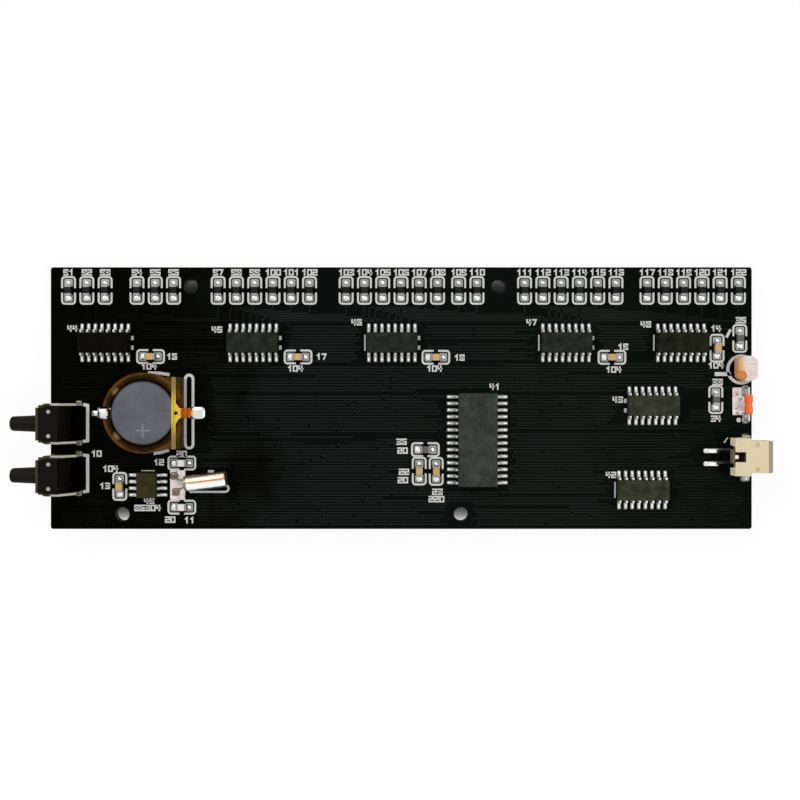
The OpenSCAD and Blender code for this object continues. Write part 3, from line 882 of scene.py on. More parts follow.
@dataclass(frozen=True)
class DrawnCan(Finish):
    """Tin on a drawn can, with painted reflections that follow the way its surface faces: bright below and a
    brown band along its upper side.
    """

    # Colour by the way the surface faces across the can: painted reflections, bright on the lower side and a
    # brown band on the upper side.
    stops: tuple[tuple[float, Colour], ...] = (
        (0.0, tone(206, 204, 198)), (0.1, tone(250, 250, 248)), (0.44, tone(248, 247, 242)),
        (0.52, tone(204, 176, 128)), (0.58, tone(178, 114, 58)), (0.66, tone(208, 176, 134)),
        (0.84, tone(228, 212, 188)), (1.0, tone(140, 108, 78)),
    )
    grain: float = 0.14
    stretch: Triple = (0.06, 1, 1)
    cloud: float = 1.6
    ragged: float = 0.08
    depth: float = 0.004
    strength: float = 0.6
    rough: float = 0.24
    swing: float = 0.2
    metallic: float = 0.9

    def make(self, shade: Shade) -> bpy.types.Material:
        """Makes the material in an empty tree."""
        drawn = shade.noise(self.grain, stretch=self.stretch)
        clouds = shade.noise(self.cloud, detail=2.0)
        reflection_share = shade.facing("Y") * 0.5 + 0.5 + clouds.about(self.ragged)
        return shade.surface({
            "Base Color": shade.ramp(reflection_share, self.stops),
            "Roughness": self.rough + drawn.about(self.swing),
            "Metallic": self.metallic,
            "Normal": shade.relief(drawn, self.depth, self.strength),
        })


@dataclass(frozen=True)
class HeaderNylon(Finish):
    """Natural nylon with painted light: paler on its back faces, with painted shade on the back's middle
    bar, along its lip and in its latch window.
    """

    back: Point
    front: float
    roof: float
    lip: float = 1.1
    light: Colour = tone(222, 209, 176)
    dark: Colour = tone(205, 191, 155)
    # Pale: painted light on the back's ears. The next three colours are painted shade: on the back's middle
    # bar, along the lip and in the latch window.
    pale: Colour = tone(240, 231, 204)
    olive: Colour = tone(112, 100, 70)
    brown: Colour = tone(158, 144, 116)
    hollow: Colour = tone(58, 42, 20)
    fade: float = 0.12
    window: Pair = (2.05, 0.98)
    bar_half: float = 1.9
    skin: float = 0.45
    back_gap: float = 0.05
    backward: float = 0.7
    back_share: float = 0.9
    grain: float = 0.3
    cloud: float = 2.4
    shares: Triple = (0.4, 0.9, 0.15)
    depth: float = 0.01
    strength: float = 0.5
    rough: float = 0.5
    swing: float = 0.2
    shine: float = 0.15

    def make(self, shade: Shade) -> bpy.types.Material:
        """Makes the material in an empty tree."""
        grain = shade.noise(self.grain, detail=4.0)
        clouds = shade.noise(self.cloud)
        nylon = shade.blend(shade.mixture(grain, clouds, self.shares), self.dark, self.light)
        # Painted light and shade on the back faces, then painted shade along the lip and in the latch
        # window.
        bar = self.bar_half - abs(shade.axis("Y") - self.back[1]) > 0.0
        back_light_and_shade = shade.blend(bar, self.pale, self.olive)
        behind = 0.0 - shade.facing("X") > self.backward
        nylon = shade.blend(behind * self.back_share, nylon, back_light_and_shade)
        along = shade.axis("X")
        nylon = shade.blend((along - (self.front - self.lip)) * (1 / self.fade), nylon, self.brown)
        window_shade_mask = (self.back[0] + self.window[0] - along > 0.0) * (along - self.back[0] > self.back_gap)
        window_shade_mask *= self.window[1] - abs(shade.axis("Y") - self.back[1]) > 0.0
        window_shade_mask *= self.roof - self.skin - shade.axis("Z") > 0.0
        return shade.surface({
            "Base Color": shade.blend(window_shade_mask, nylon, self.hollow),
            "Roughness": self.rough + grain.about(self.swing),
            "Specular IOR Level": self.shine,
            "Normal": shade.relief(grain, self.depth, self.strength),
        })


@dataclass(frozen=True)
class StudioFloor(Finish):
    """White floor that stays white to the camera and in reflections, with a painted shadow under the board
    that is darker towards +Y.
    """

    white: Colour = tone(244, 244, 243)
    # Colour of the painted shadow under the board.
    under: Colour = tone(40, 40, 40)
    glow: float = 0.9
    leak: float = 1.2
    leak_depth: float = 1.0
    leak_tilt: float = 0.025
    clear: float = -5.0

    def make(self, shade: Shade) -> bpy.types.Material:
        """Makes the material in an empty tree."""
        # Painted shadow: the floor's glow and colour fall off with the distance in from the board's edges,
        # more towards +Y.
        depth = BOARD.size.x / 2 - abs(shade.axis("X") - BOARD.middle.x)
        depth = depth.math("MINIMUM", depth, BOARD.size.y / 2 - abs(shade.axis("Y") - BOARD.middle.y))
        depth = depth.math("MAXIMUM", depth + shade.axis("Y") * self.leak_tilt, self.clear)
        lit = depth.math("EXPONENT", depth * (-1 / self.leak_depth)) * self.leak
        lit = lit.math("MINIMUM", lit, self.glow)
        seen = shade.seen() * lit
        colour = shade.blend(lit * (1 / self.glow), self.under, self.white)
        matt = shade.node("ShaderNodeBsdfDiffuse", {}, {"Color": colour})
        glow = shade.node("ShaderNodeEmission", {}, {"Color": (1, 1, 1, 1), "Strength": 1.0})
        shade.node_out(shade.node("ShaderNodeMixShader", {}, {0: seen, 1: matt, 2: glow}))
        return shade.material


def epoxy(name: str, light: Colour, dark: Colour, rough: float = 0.62) -> Plain:
    """Matt moulding of a package, mottled by old flux.

    Args:
        name: Name of the finish.
        light: Its lighter colour.
        dark: Its darker colour.
        rough: Its roughness.

    Returns:
        The finish.
    """
    return Plain(name, light, dark, rough, grain=0.14, depth=0.012, shine=0.02, mottle=3.0)


MASK = SolderMask("black_mask")
# Mask over copper along the board, with the same painted light as the bare mask.
COPPER_PAINTED_LIGHT_STOPS = (
    (0.0, tone(3, 3, 2)), (0.2, tone(11, 11, 8)), (0.36, tone(30, 33, 32)), (0.75, tone(27, 34, 30)),
    (1.0, tone(15, 22, 18)),
)
TRACK_MASK = SolderMask("mask_over_copper", COPPER_PAINTED_LIGHT_STOPS, tone(14, 15, 14), tone(22, 23, 22))
INK = Plain(
    "white_ink", tone(213, 213, 210), tone(180, 180, 177), rough=0.6, grain=0.16, depth=0.008, shine=0.2
)
FLUXED_INK = FluxedInk("fluxed_ink")
LAND = Metal("tinned_land", tone(160, 160, 156), tone(122, 122, 118), rough=0.42, grain=0.5, depth=0.004)
SOLDER = Metal("solder", tone(244, 244, 242), tone(206, 207, 207), rough=0.22, grain=0.6, depth=0.008)
DULL_SOLDER = Metal(
    "dull_solder", tone(140, 131, 112), tone(86, 80, 64), rough=0.46, grain=0.5, depth=0.012
)
LEAD = Metal("plated_lead", tone(208, 208, 204), tone(160, 160, 156), rough=0.32, grain=0.4, depth=0.004)
# Header pins painted dark: painted shade and dark painted reflection along their sloping tails.
SHADED_HEADER_PIN = Metal("header_pin", tone(84, 82, 82), tone(46, 44, 46), rough=0.4, grain=0.3, depth=0.004)
END_CAP = Metal("end_cap", tone(164, 162, 157), tone(120, 118, 114), rough=0.36, grain=0.3, depth=0.005)
BRACKET = BracketSteel("bracket_steel", node_box("upper_button_housing").low.x)
RIVET = Plain(
    "rivet_head", tone(190, 188, 174), tone(146, 144, 132), rough=0.45, grain=0.2, depth=0.01, shine=0.2
)
DOME = Metal("dome_steel", tone(220, 220, 216), tone(170, 170, 166), rough=0.24, grain=0.2, depth=0.004)
CAN = DrawnCan("drawn_can")
STEM = Metal("sealed_stem", tone(150, 142, 124), tone(104, 98, 86), rough=0.45, grain=0.3, depth=0.01)
CELL = CellSteel("cell_steel", across(node_box("coin_cell_can")))
EMBOSSED = Metal(
    "embossed_steel", tone(132, 134, 140), tone(112, 114, 120), rough=0.36, grain=0.16, depth=0.004
)
HOLDER_BOX = node_box("battery_holder")
GILT = GiltContact("gilt_contact", (HOLDER_BOX.high.x, HOLDER_BOX.middle.y))
BOND = Metal("bond_wire", tone(226, 190, 80), tone(180, 146, 56), rough=0.25, grain=0.3, depth=0.002)
GASKET = Plain("cell_gasket", tone(40, 40, 40), tone(26, 26, 26), rough=0.6)
# First column driver: the same moulding as the other drivers, darker as painted shade at the board's left
# end.
SHADED_FIRST_DRIVER = epoxy("first_driver_painted_shade_epoxy", tone(14, 14, 4), tone(5, 5, 1))
PACKAGE = epoxy("driver_epoxy", tone(46, 49, 38), tone(23, 26, 18))
ROW_PACKAGE = epoxy("row_driver_epoxy", tone(36, 38, 24), tone(16, 18, 9))
SINK_PACKAGE = epoxy("sink_epoxy", tone(63, 65, 50), tone(37, 39, 28))
CLOCK = epoxy("clock_epoxy", tone(61, 57, 33), tone(39, 36, 21))
CONTROLLER = epoxy("controller_epoxy", tone(62, 70, 65), tone(40, 47, 44), 0.6)
RESISTOR = Plain(
    "resistor_glaze", tone(20, 21, 23), tone(10, 11, 12), rough=0.3, grain=0.3, depth=0.006, shine=0.12
)
GREY_GLAZE = Plain(
    "small_resistor_glaze", tone(114, 110, 104), tone(74, 70, 66),
    rough=0.35, grain=0.3, depth=0.006, shine=0.12,
)
TAN = Plain(
    "tan_ceramic", tone(212, 184, 116), tone(164, 130, 70), rough=0.42, grain=0.2, depth=0.008, shine=0.2
)
PALE = Plain(
    "pale_ceramic", tone(240, 236, 226), tone(210, 204, 192), rough=0.42, grain=0.2, depth=0.008, shine=0.2
)
HOLDER = HolderPlastic("holder_plastic", across(node_box("coin_cell_can")))
HOUSING = Plain(
    "button_housing", tone(18, 16, 10), tone(8, 8, 5), rough=0.5, grain=0.12, depth=0.01, shine=0.05
)
PLUNGER = Plain(
    "button_plunger", tone(25, 24, 20), tone(13, 12, 11),
    rough=0.48, grain=0.12, depth=0.01, shine=0.05, stretch=(0.12, 1, 1),
)
HEADER_BOX = node_box("power_header_housing")
HEADER = HeaderNylon(
    "header_nylon", (HEADER_BOX.low.x, HEADER_BOX.middle.y), HEADER_BOX.high.x, HEADER_BOX.high.z
)
# Near-white painted highlight on the latch nub.
NUB_HIGHLIGHT = Plain(
    "nub_painted_highlight", tone(242, 236, 228), tone(226, 219, 208), rough=0.4, grain=0.2, depth=0.006, shine=0.3
)
# Darker floors of the key marks: painted shade in the dimples.
KEY_FLOOR_SHADE = Plain(
    "key_floor", tone(200, 186, 147), tone(182, 167, 128), rough=0.5, grain=0.2, depth=0.006, shine=0.1
)
LAMP = Plain(
    "lamp_package", tone(236, 234, 226), tone(216, 213, 203), rough=0.5, grain=0.2, depth=0.008, shine=0.3
)
RESIN = Resin("lamp_resin")
SENSOR = SensorFace("sensor_face", across(node_box("light_sensor_disc")))
LACQUER = Plain(
    "sensor_lacquer", tone(216, 134, 58), tone(184, 102, 38),
    rough=0.25, grain=0.3, depth=0.01, shine=0.2, coat=0.2,
)
BEAD = Plain(
    "bead_lacquer", tone(246, 116, 46), tone(222, 86, 28),
    rough=0.24, grain=0.4, depth=0.02, shine=0.3, coat=0.2,
)
DIE = Plain(
    "lamp_die", tone(178, 168, 120), tone(120, 112, 80), rough=0.3, grain=0.1, depth=0.004, shine=0.4
)
FLOOR = StudioFloor("studio_floor")


# Pieces

EDGE_STEPS = 2
EDGE_ANGLE = math.radians(40)
WELD_REACH = 1e-6
CORNER_STEPS = 4


def register(piece: bpy.types.Object) -> bpy.types.Object:
    """Puts a finished piece on the board's body.

    Args:
        piece: Object at the origin, with its place in its mesh.

    Returns:
        The same object.
    """
    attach(piece, BODY)
    LOG.info("%s: %d faces on %s", piece.name, len(piece.data.polygons), BODY)
    return piece


def dress(finish: Finish, edge: Edge, *nodes: str) -> None:
    """Gives CAD nodes their finish and breaks their edges.

    Args:
        finish: Finish of the nodes.
        edge: Width of their broken edges.
        nodes: Names of the nodes.
    """
    for node in nodes:
        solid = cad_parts[node]
        for slot in solid.material_slots:
            slot.material = finish.material()
        if edge is not Edge.SHARP:
            weld = solid.modifiers.new("weld", "WELD")
            weld.merge_threshold = WELD_REACH
            bevel = solid.modifiers.new("broken_edges", "BEVEL")
            bevel.width = edge.value * MM
            bevel.segments = EDGE_STEPS
            bevel.limit_method = "ANGLE"
            bevel.angle_limit = EDGE_ANGLE
        LOG.info("%s dressed in %s", node, finish.name)


def rounded(size: Sequence[float], radius: float) -> list[Point]:
    """Outline of a rectangle with round corners, about its middle.

    Args:
        size: Its length and width.
        radius: Radius of its corners.

    Returns:
        Its points, anticlockwise.
    """
    reach = (size[0] / 2 - radius, size[1] / 2 - radius)
    points = []
    for corner, (sx, sy) in enumerate(((1, 1), (-1, 1), (-1, -1), (1, -1))):
        for step in range(CORNER_STEPS + 1):
            angle = math.pi / 2 * (corner + step / CORNER_STEPS)
            x = sx * reach[0] + radius * math.cos(angle)
            points.append((x, sy * reach[1] + radius * math.sin(angle)))
    return points


def arc(middle: Point, radius: float, start: float, end: float, steps: int) -> list[Point]:
    """Points along an arc.

    Args:
        middle: Middle of the arc.
        radius: Its radius.
        start: Angle of its first point, in degrees.
        end: Angle of its last point, in degrees.
        steps: Straight steps in it.

    Returns:
        Its points.
    """
    angles = [math.radians(start + (end - start) * step / steps) for step in range(steps + 1)]
    return [(middle[0] + radius * math.cos(a), middle[1] + radius * math.sin(a)) for a in angles]


class Shaper:
    """Collects closed solids and turns them into one piece."""

    mitre_limit = 0.4

    def __init__(self) -> None:
        """Starts with nothing."""
        self.mesh = bmesh.new()

    def loft(self, rings: Sequence[Sequence[Sequence[float]]], closed: bool = False) -> None:
        """Joins rings of points into a solid.

        Args:
            rings: Rings with as many points each.
            closed: Whether the last ring joins the first. Otherwise both ends are capped.
        """
        made = [[self.mesh.verts.new(point) for point in ring] for ring in rings]
        for low, high in zip(made, made[1:] + made[:1] if closed else made[1:]):
            for i, corner in enumerate(low):
                j = (i + 1) % len(low)
                self.mesh.faces.new((corner, low[j], high[j], high[i]))
        if not closed:
            self.mesh.faces.new(made[0][::-1])
            self.mesh.faces.new(made[-1])

    def prism(self, outline: Sequence[Point], low: float, high: float, middle: Point) -> None:
        """Adds a flat plate with an outline."""
        self.loft([[(x + middle[0], y + middle[1], z) for x, y in outline] for z in (low, high)])

    def ribbon(
        self, path: Sequence[Point], width: float, low: float, high: float, closed: bool = False
    ) -> None:
        """Adds a flat stroke along a path, with mitred bends and square ends.

        Args:
            path: Points along its middle.
            width: Width of the stroke.
            low: Height of its underside.
            high: Height of its top.
            closed: Whether the last point joins the first.
        """
        points = [Vector(point) for point in path]
        count = len(points)
        rings = []
        for i, point in enumerate(points):
            ways = []
            if closed or i > 0:
                ways.append((point - points[i - 1]).normalized())
            if closed or i < count - 1:
                ways.append((points[(i + 1) % count] - point).normalized())
            way = sum(ways, Vector((0, 0))).normalized()
            side = Vector((-way.y, way.x)) * (width / 2 / max(self.mitre_limit, way.dot(ways[0])))
            if len(ways) == 1:
                point = point + way * (width / 2) * (1 if i else -1)
            left, right = point + side, point - side
            rings.append([(*right, low), (*left, low), (*left, high), (*right, high)])
        self.loft(rings, closed)

    def piece(
        self, name: str, finish: Finish, slot: Optional[Slot] = None, smooth: bool = False
    ) -> bpy.types.Object:
        """Ends the piece.

        Args:
            name: Name of the piece.
            finish: Its finish.
            slot: Slot of the record. Not used.
            smooth: Whether its faces are shaded as one round surface.

        Returns:
            Its object.
        """
        bmesh.ops.recalc_face_normals(self.mesh, faces=self.mesh.faces)
        bmesh.ops.scale(self.mesh, vec=(MM, MM, MM), verts=self.mesh.verts)
        for face in self.mesh.faces:
            face.smooth = smooth
        mesh = bpy.data.meshes.new(name)
        self.mesh.to_mesh(mesh)
        self.mesh.free()
        mesh.materials.append(finish.material())
        made = bpy.data.objects.new(name, mesh)
        bpy.context.scene.collection.objects.link(made)
        return register(made)


class Grower(Bench):
    """A Geometry Nodes tree with named sizes, which ends in one finish."""

    def __init__(self, name: str, sizes: Iterable[str]) -> None:
        """Makes an empty tree.

        Args:
            name: Name of the tree.
            sizes: Names of its sizes.
        """
        super().__init__(bpy.data.node_groups.new(name, "GeometryNodeTree"))
        face = self.tree.interface
        face.new_socket("Geometry", in_out="OUTPUT", socket_type="NodeSocketGeometry")
        kinds = {"Geometry": "Geometry", **{size: "Float" for size in sizes}, "Finish": "Material"}
        self.keys = {
            label: face.new_socket(label, in_out="INPUT", socket_type=f"NodeSocket{kind}").identifier
            for label, kind in kinds.items()
        }
        self.source = self.tree.nodes.new("NodeGroupInput")

    def given(self, label: str) -> Wire:
        """One of the tree's inputs."""
        return Wire(self, self.source.outputs[label])

    def close(self, geometry: Wire) -> None:
        """Ends the tree in plain geometry with the finish on it."""
        plain = self.node("GeometryNodeRealizeInstances", {}, {0: geometry})
        sockets = {"Geometry": plain, "Material": self.given("Finish")}
        dressed = self.node("GeometryNodeSetMaterial", {}, sockets)
        output = self.tree.nodes.new("NodeGroupOutput")
        self.tree.links.new(dressed.socket, output.inputs[0])

    def grow(
        self,
        name: str,
        carrier: bpy.types.Mesh,
        sizes: Mapping[str, float],
        finish: Finish,
        slot: Optional[Slot] = None,
    ) -> bpy.types.Object:
        """Grows a piece on a carrier and leaves it as a plain mesh.

        Args:
            name: Name of the piece.
            carrier: Mesh whose points or edges carry the shapes.
            sizes: Values of the tree's sizes, in millimetres.
            finish: Finish of the piece.
            slot: Slot of the record. Not used.

        Returns:
            Its object.
        """
        made = bpy.data.objects.new(name, carrier)
        bpy.context.scene.collection.objects.link(made)
        growth = made.modifiers.new("growth", "NODES")
        growth.node_group = self.tree
        for label, value in sizes.items():
            growth[self.keys[label]] = value * MM
        growth[self.keys["Finish"]] = finish.material()
        grown = made.evaluated_get(bpy.context.evaluated_depsgraph_get())
        plain = bpy.data.meshes.new_from_object(grown)
        made.modifiers.remove(growth)
        made.data = plain
        return register(made)


@dataclass(frozen=True)
class Stamp:
    """One stamped shape: the point that it is stamped on, its size and its turn on the board."""

    at: Vector
    size: Triple
    turn: float = 0.0


# Unit shapes: a land's corners, the faces round and down a mound, and a ring's path and bead
LAND_CORNER = 0.16
LAND_STEPS = 3
MOUND_FACES = (12, 7)
RING_R = (0.36, 0.14)
RING_FACES = (12, 5)


def stamping_tree(form: Form) -> Grower:
    """Tree that stamps one shape, a unit in size, on every point of its carrier.

    Args:
        form: The shape.

    Returns:
        The tree.
    """
    tree = Grower(f"stamped_{form.value}", [])
    if form is Form.LAND:
        outline = tree.node("GeometryNodeCurvePrimitiveQuadrilateral", {}, {"Width": 1.0, "Height": 1.0})
        corners = {"Curve": outline, "Radius": LAND_CORNER, "Count": LAND_STEPS}
        outline = tree.node("GeometryNodeFilletCurve", {"mode": "POLY"}, corners)
        upright = tree.node("GeometryNodeCurvePrimitiveLine", {}, {"Start": (0, 0, 0), "End": (0, 0, 1)})
        shape = tree.node(
            "GeometryNodeCurveToMesh", {}, {"Curve": upright, "Profile Curve": outline, "Fill Caps": True}
        )
    elif form is Form.MOUND:
        segments, rings = MOUND_FACES
        ball = {"Segments": segments, "Rings": rings, "Radius": 0.5}
        shape = tree.node("GeometryNodeMeshUVSphere", {}, ball)
    elif form is Form.RING:
        path, bead = (
            tree.node("GeometryNodeCurvePrimitiveCircle", {}, {"Resolution": faces, "Radius": radius})
            for faces, radius in zip(RING_FACES, RING_R)
        )
        shape = tree.node("GeometryNodeCurveToMesh", {}, {"Curve": path, "Profile Curve": bead})
    else:
        cube = tree.node("GeometryNodeMeshCube", {}, {"Size": (1, 1, 1)})
        shape = tree.node("GeometryNodeTransform", {}, {"Geometry": cube, "Translation": (0, 0, 0.5)})
    smooth = form in (Form.MOUND, Form.RING)
    shape = tree.node("GeometryNodeSetShadeSmooth", {}, {0: shape, "Shade Smooth": smooth})
    size = tree.node("GeometryNodeInputNamedAttribute", {"data_type": "FLOAT_VECTOR"}, {"Name": "size"})
    turn = tree.node("GeometryNodeInputNamedAttribute", {"data_type": "FLOAT_VECTOR"}, {"Name": "turn"})
    way = tree.node("FunctionNodeEulerToRotation", {}, {0: turn})
    tree.close(tree.node("GeometryNodeInstanceOnPoints", {}, {
        "Points": tree.given("Geometry"), "Instance": shape, "Rotation": way, "Scale": size,
    }))
    return tree


def path_tree() -> Grower:
    """Tree that lays a flat strip along every edge path of its carrier."""
    tree = Grower("laid_strip", ["Width", "Height"])
    paths = tree.node("GeometryNodeMeshToCurve", {}, {"Mesh": tree.given("Geometry")})
    paths = tree.node("GeometryNodeSetCurveNormal", {"mode": "Z_UP"}, {"Curve": paths})
    section = tree.node(
        "GeometryNodeCurvePrimitiveQuadrilateral", {},
        {"Width": tree.given("Width"), "Height": tree.given("Height")},
    )
    tree.close(tree.node(
        "GeometryNodeCurveToMesh", {}, {"Curve": paths, "Profile Curve": section, "Fill Caps": True}
    ))
    return tree


class Grown:
    """The trees in use, each made once."""

    stamps: dict[Form, Grower] = {}
    strips: Optional[Grower] = None

    @classmethod
    def stamped(
        cls, name: str, form: Form, stamps: Sequence[Stamp], finish: Finish, slot: Optional[Slot] = None
    ) -> bpy.types.Object:
        """Stamps one shape at many places.

        Args:
            name: Name of the piece.
            form: The shape.
            stamps: Its places, sizes and turns.
            finish: Finish of the piece.
            slot: Slot of the record, passed on to the grower.

        Returns:
            The piece.
        """
        tree = cls.stamps.get(form) or cls.stamps.setdefault(form, stamping_tree(form))
        carrier = bpy.data.meshes.new(name)
        carrier.from_pydata([stamp.at * MM for stamp in stamps], [], [])
        for label, rows in (
            ("size", [Vector(stamp.size) * MM for stamp in stamps]),
            ("turn", [(0, 0, stamp.turn) for stamp in stamps]),
        ):
            layer = carrier.attributes.new(label, "FLOAT_VECTOR", "POINT")
            layer.data.foreach_set("vector", [value for row in rows for value in row])
        piece = tree.grow(name, carrier, {}, finish, slot)
        for label in ("size", "turn"):
            layer = piece.data.attributes.get(label)
            if layer:
                piece.data.attributes.remove(layer)
        return piece

    @classmethod
    def laid(
        cls, name: str, paths: Sequence[Sequence[Sequence[float]]], width: float, height: float,
        finish: Finish, slot: Optional[Slot] = None,
    ) -> bpy.types.Object:
        """Lays a strip along many paths.

        Args:
            name: Name of the piece.
            paths: Points of each path.
            width: Width of the strip.
            height: Its height.
            finish: Finish of the piece.
            slot: Slot of the record, passed on to the grower.

        Returns:
            The piece.
        """
        cls.strips = cls.strips or path_tree()
        points, edges = [], []
        for path in paths:
            edges += [(len(points) + i, len(points) + i + 1) for i in range(len(path) - 1)]
            points += [Vector(point) * MM for point in path]
        carrier = bpy.data.meshes.new(name)
        carrier.from_pydata(points, edges, [])
        return cls.strips.grow(name, carrier, {"Width": width, "Height": height}, finish, slot)


# Sub-assemblies

BLOCKS = 4
COLUMNS = 8
COLUMN_DRIVERS = [f"column_driver_{number}" for number in range(1, BLOCKS + 1)]
DRIVERS = COLUMN_DRIVERS + ["row_driver", "row_sink_1", "row_sink_2"]
CHIPS = DRIVERS + ["controller", "clock_chip"]
BUTTONS = ("upper_button", "lower_button")
RESISTORS = ("column_resistors", "column_resistor_caps")
SMALL_RESISTORS = ("small_resistors", "small_resistor_caps")
DECOUPLERS = ("decoupling_capacitors", "capacitor_caps")
LOAD_CAPACITORS = ("load_capacitors", "capacitor_caps")


@dataclass(frozen=True)
class Joint:
    """A pad of solder or plastic with a round back: its offset from its mark, its size and its height."""

    offset: Point
    size: Pair
    height: float
    rings: tuple[Pair, ...] = ((1.0, 0.0), (0.98, 0.3), (0.9, 0.62), (0.72, 0.86), (0.4, 1.0))
    corner: float = 0.32

    def fill(self, shaper: Shaper, mark: Point, low: float = REAR) -> None:
        """Adds the pad.

        Args:
            shaper: Shaper that it goes into.
            mark: Place that its offset is taken from.
            low: Height of its foot.
        """
        x, y = mark[0] + self.offset[0], mark[1] + self.offset[1]
        rings = []
        for share, rise in self.rings:
            drawn = (self.size[0] * share, self.size[1] * share)
            outline = rounded(drawn, self.corner * min(drawn))
            rings.append([(x + u, y + v, low + rise * self.height) for u, v in outline])
        shaper.loft(rings)


@dataclass(frozen=True)
class SoftBox:
    """A square lamp that looks at the frame's origin: its place, its side and its power."""

    at: Triple
    side: float
    power: float


@dataclass
class Stage:
    """White floor, soft light from all round and above, and a camera straight over the board."""

    floor_half: float = 4000.0
    eye: Triple = (BOARD.middle.x - 0.24, -0.365, 163.5)
    lens: float = 37.38
    film: float = 36.0
    nearest: float = 10.0
    sky: float = 0.62
    lamps: tuple[SoftBox, ...] = (
        SoftBox((-260.0, 320.0, 420.0), 300.0, 1.3),
        SoftBox((330.0, -120.0, 430.0), 260.0, 0.7),
    )

    def build(self) -> None:
        """Builds the stage."""
        view = bpy.context.scene.view_settings
        view.view_transform = "Standard"
        self.floor()
        self.world()
        for number, box in enumerate(self.lamps):
            light = bpy.data.lights.new(f"soft_box_{number}", "AREA")
            light.size = box.side * MM
            light.energy = box.power
            lamp = bpy.data.objects.new(light.name, light)
            lamp.location = Vector(box.at) * MM
            lamp.rotation_euler = Vector(box.at).to_track_quat("Z", "Y").to_euler()
            bpy.context.scene.collection.objects.link(lamp)
        camera = bpy.data.cameras.new("camera")
        camera.lens = self.lens
        camera.sensor_width = self.film
        camera.clip_start = self.nearest * MM
        eye = bpy.data.objects.new("camera", camera)
        eye.location = Vector(self.eye) * MM
        bpy.context.scene.collection.objects.link(eye)
        bpy.context.scene.camera = eye

    def floor(self) -> None:
        """Lays the floor under the lamps' faces."""
        reach = self.floor_half * MM
        mesh = bpy.data.meshes.new("floor")
        corners = [(x * reach, y * reach, 0) for x, y in ((-1, -1), (1, -1), (1, 1), (-1, 1))]
        mesh.from_pydata(corners, [], [(0, 1, 2, 3)])
        mesh.materials.append(FLOOR.material())
        floor = bpy.data.objects.new("floor", mesh)
        bpy.context.scene.collection.objects.link(floor)

    def world(self) -> None:
        """Makes the white sky, which is dimmer as a light than it looks."""
        world = bpy.data.worlds.new("white_sky")
        world.use_nodes = True
        bench = Bench(world.node_tree)
        bench.tree.nodes.clear()
        sky = bench.node("ShaderNodeBackground", {}, {
            "Color": (1, 1, 1, 1), "Strength": bench.seen() * (1 - self.sky) + self.sky,
        })
        output = bench.tree.nodes.new("ShaderNodeOutputWorld")
        bench.tree.links.new(sky.socket, output.inputs["Surface"])
        bpy.context.scene.world = world


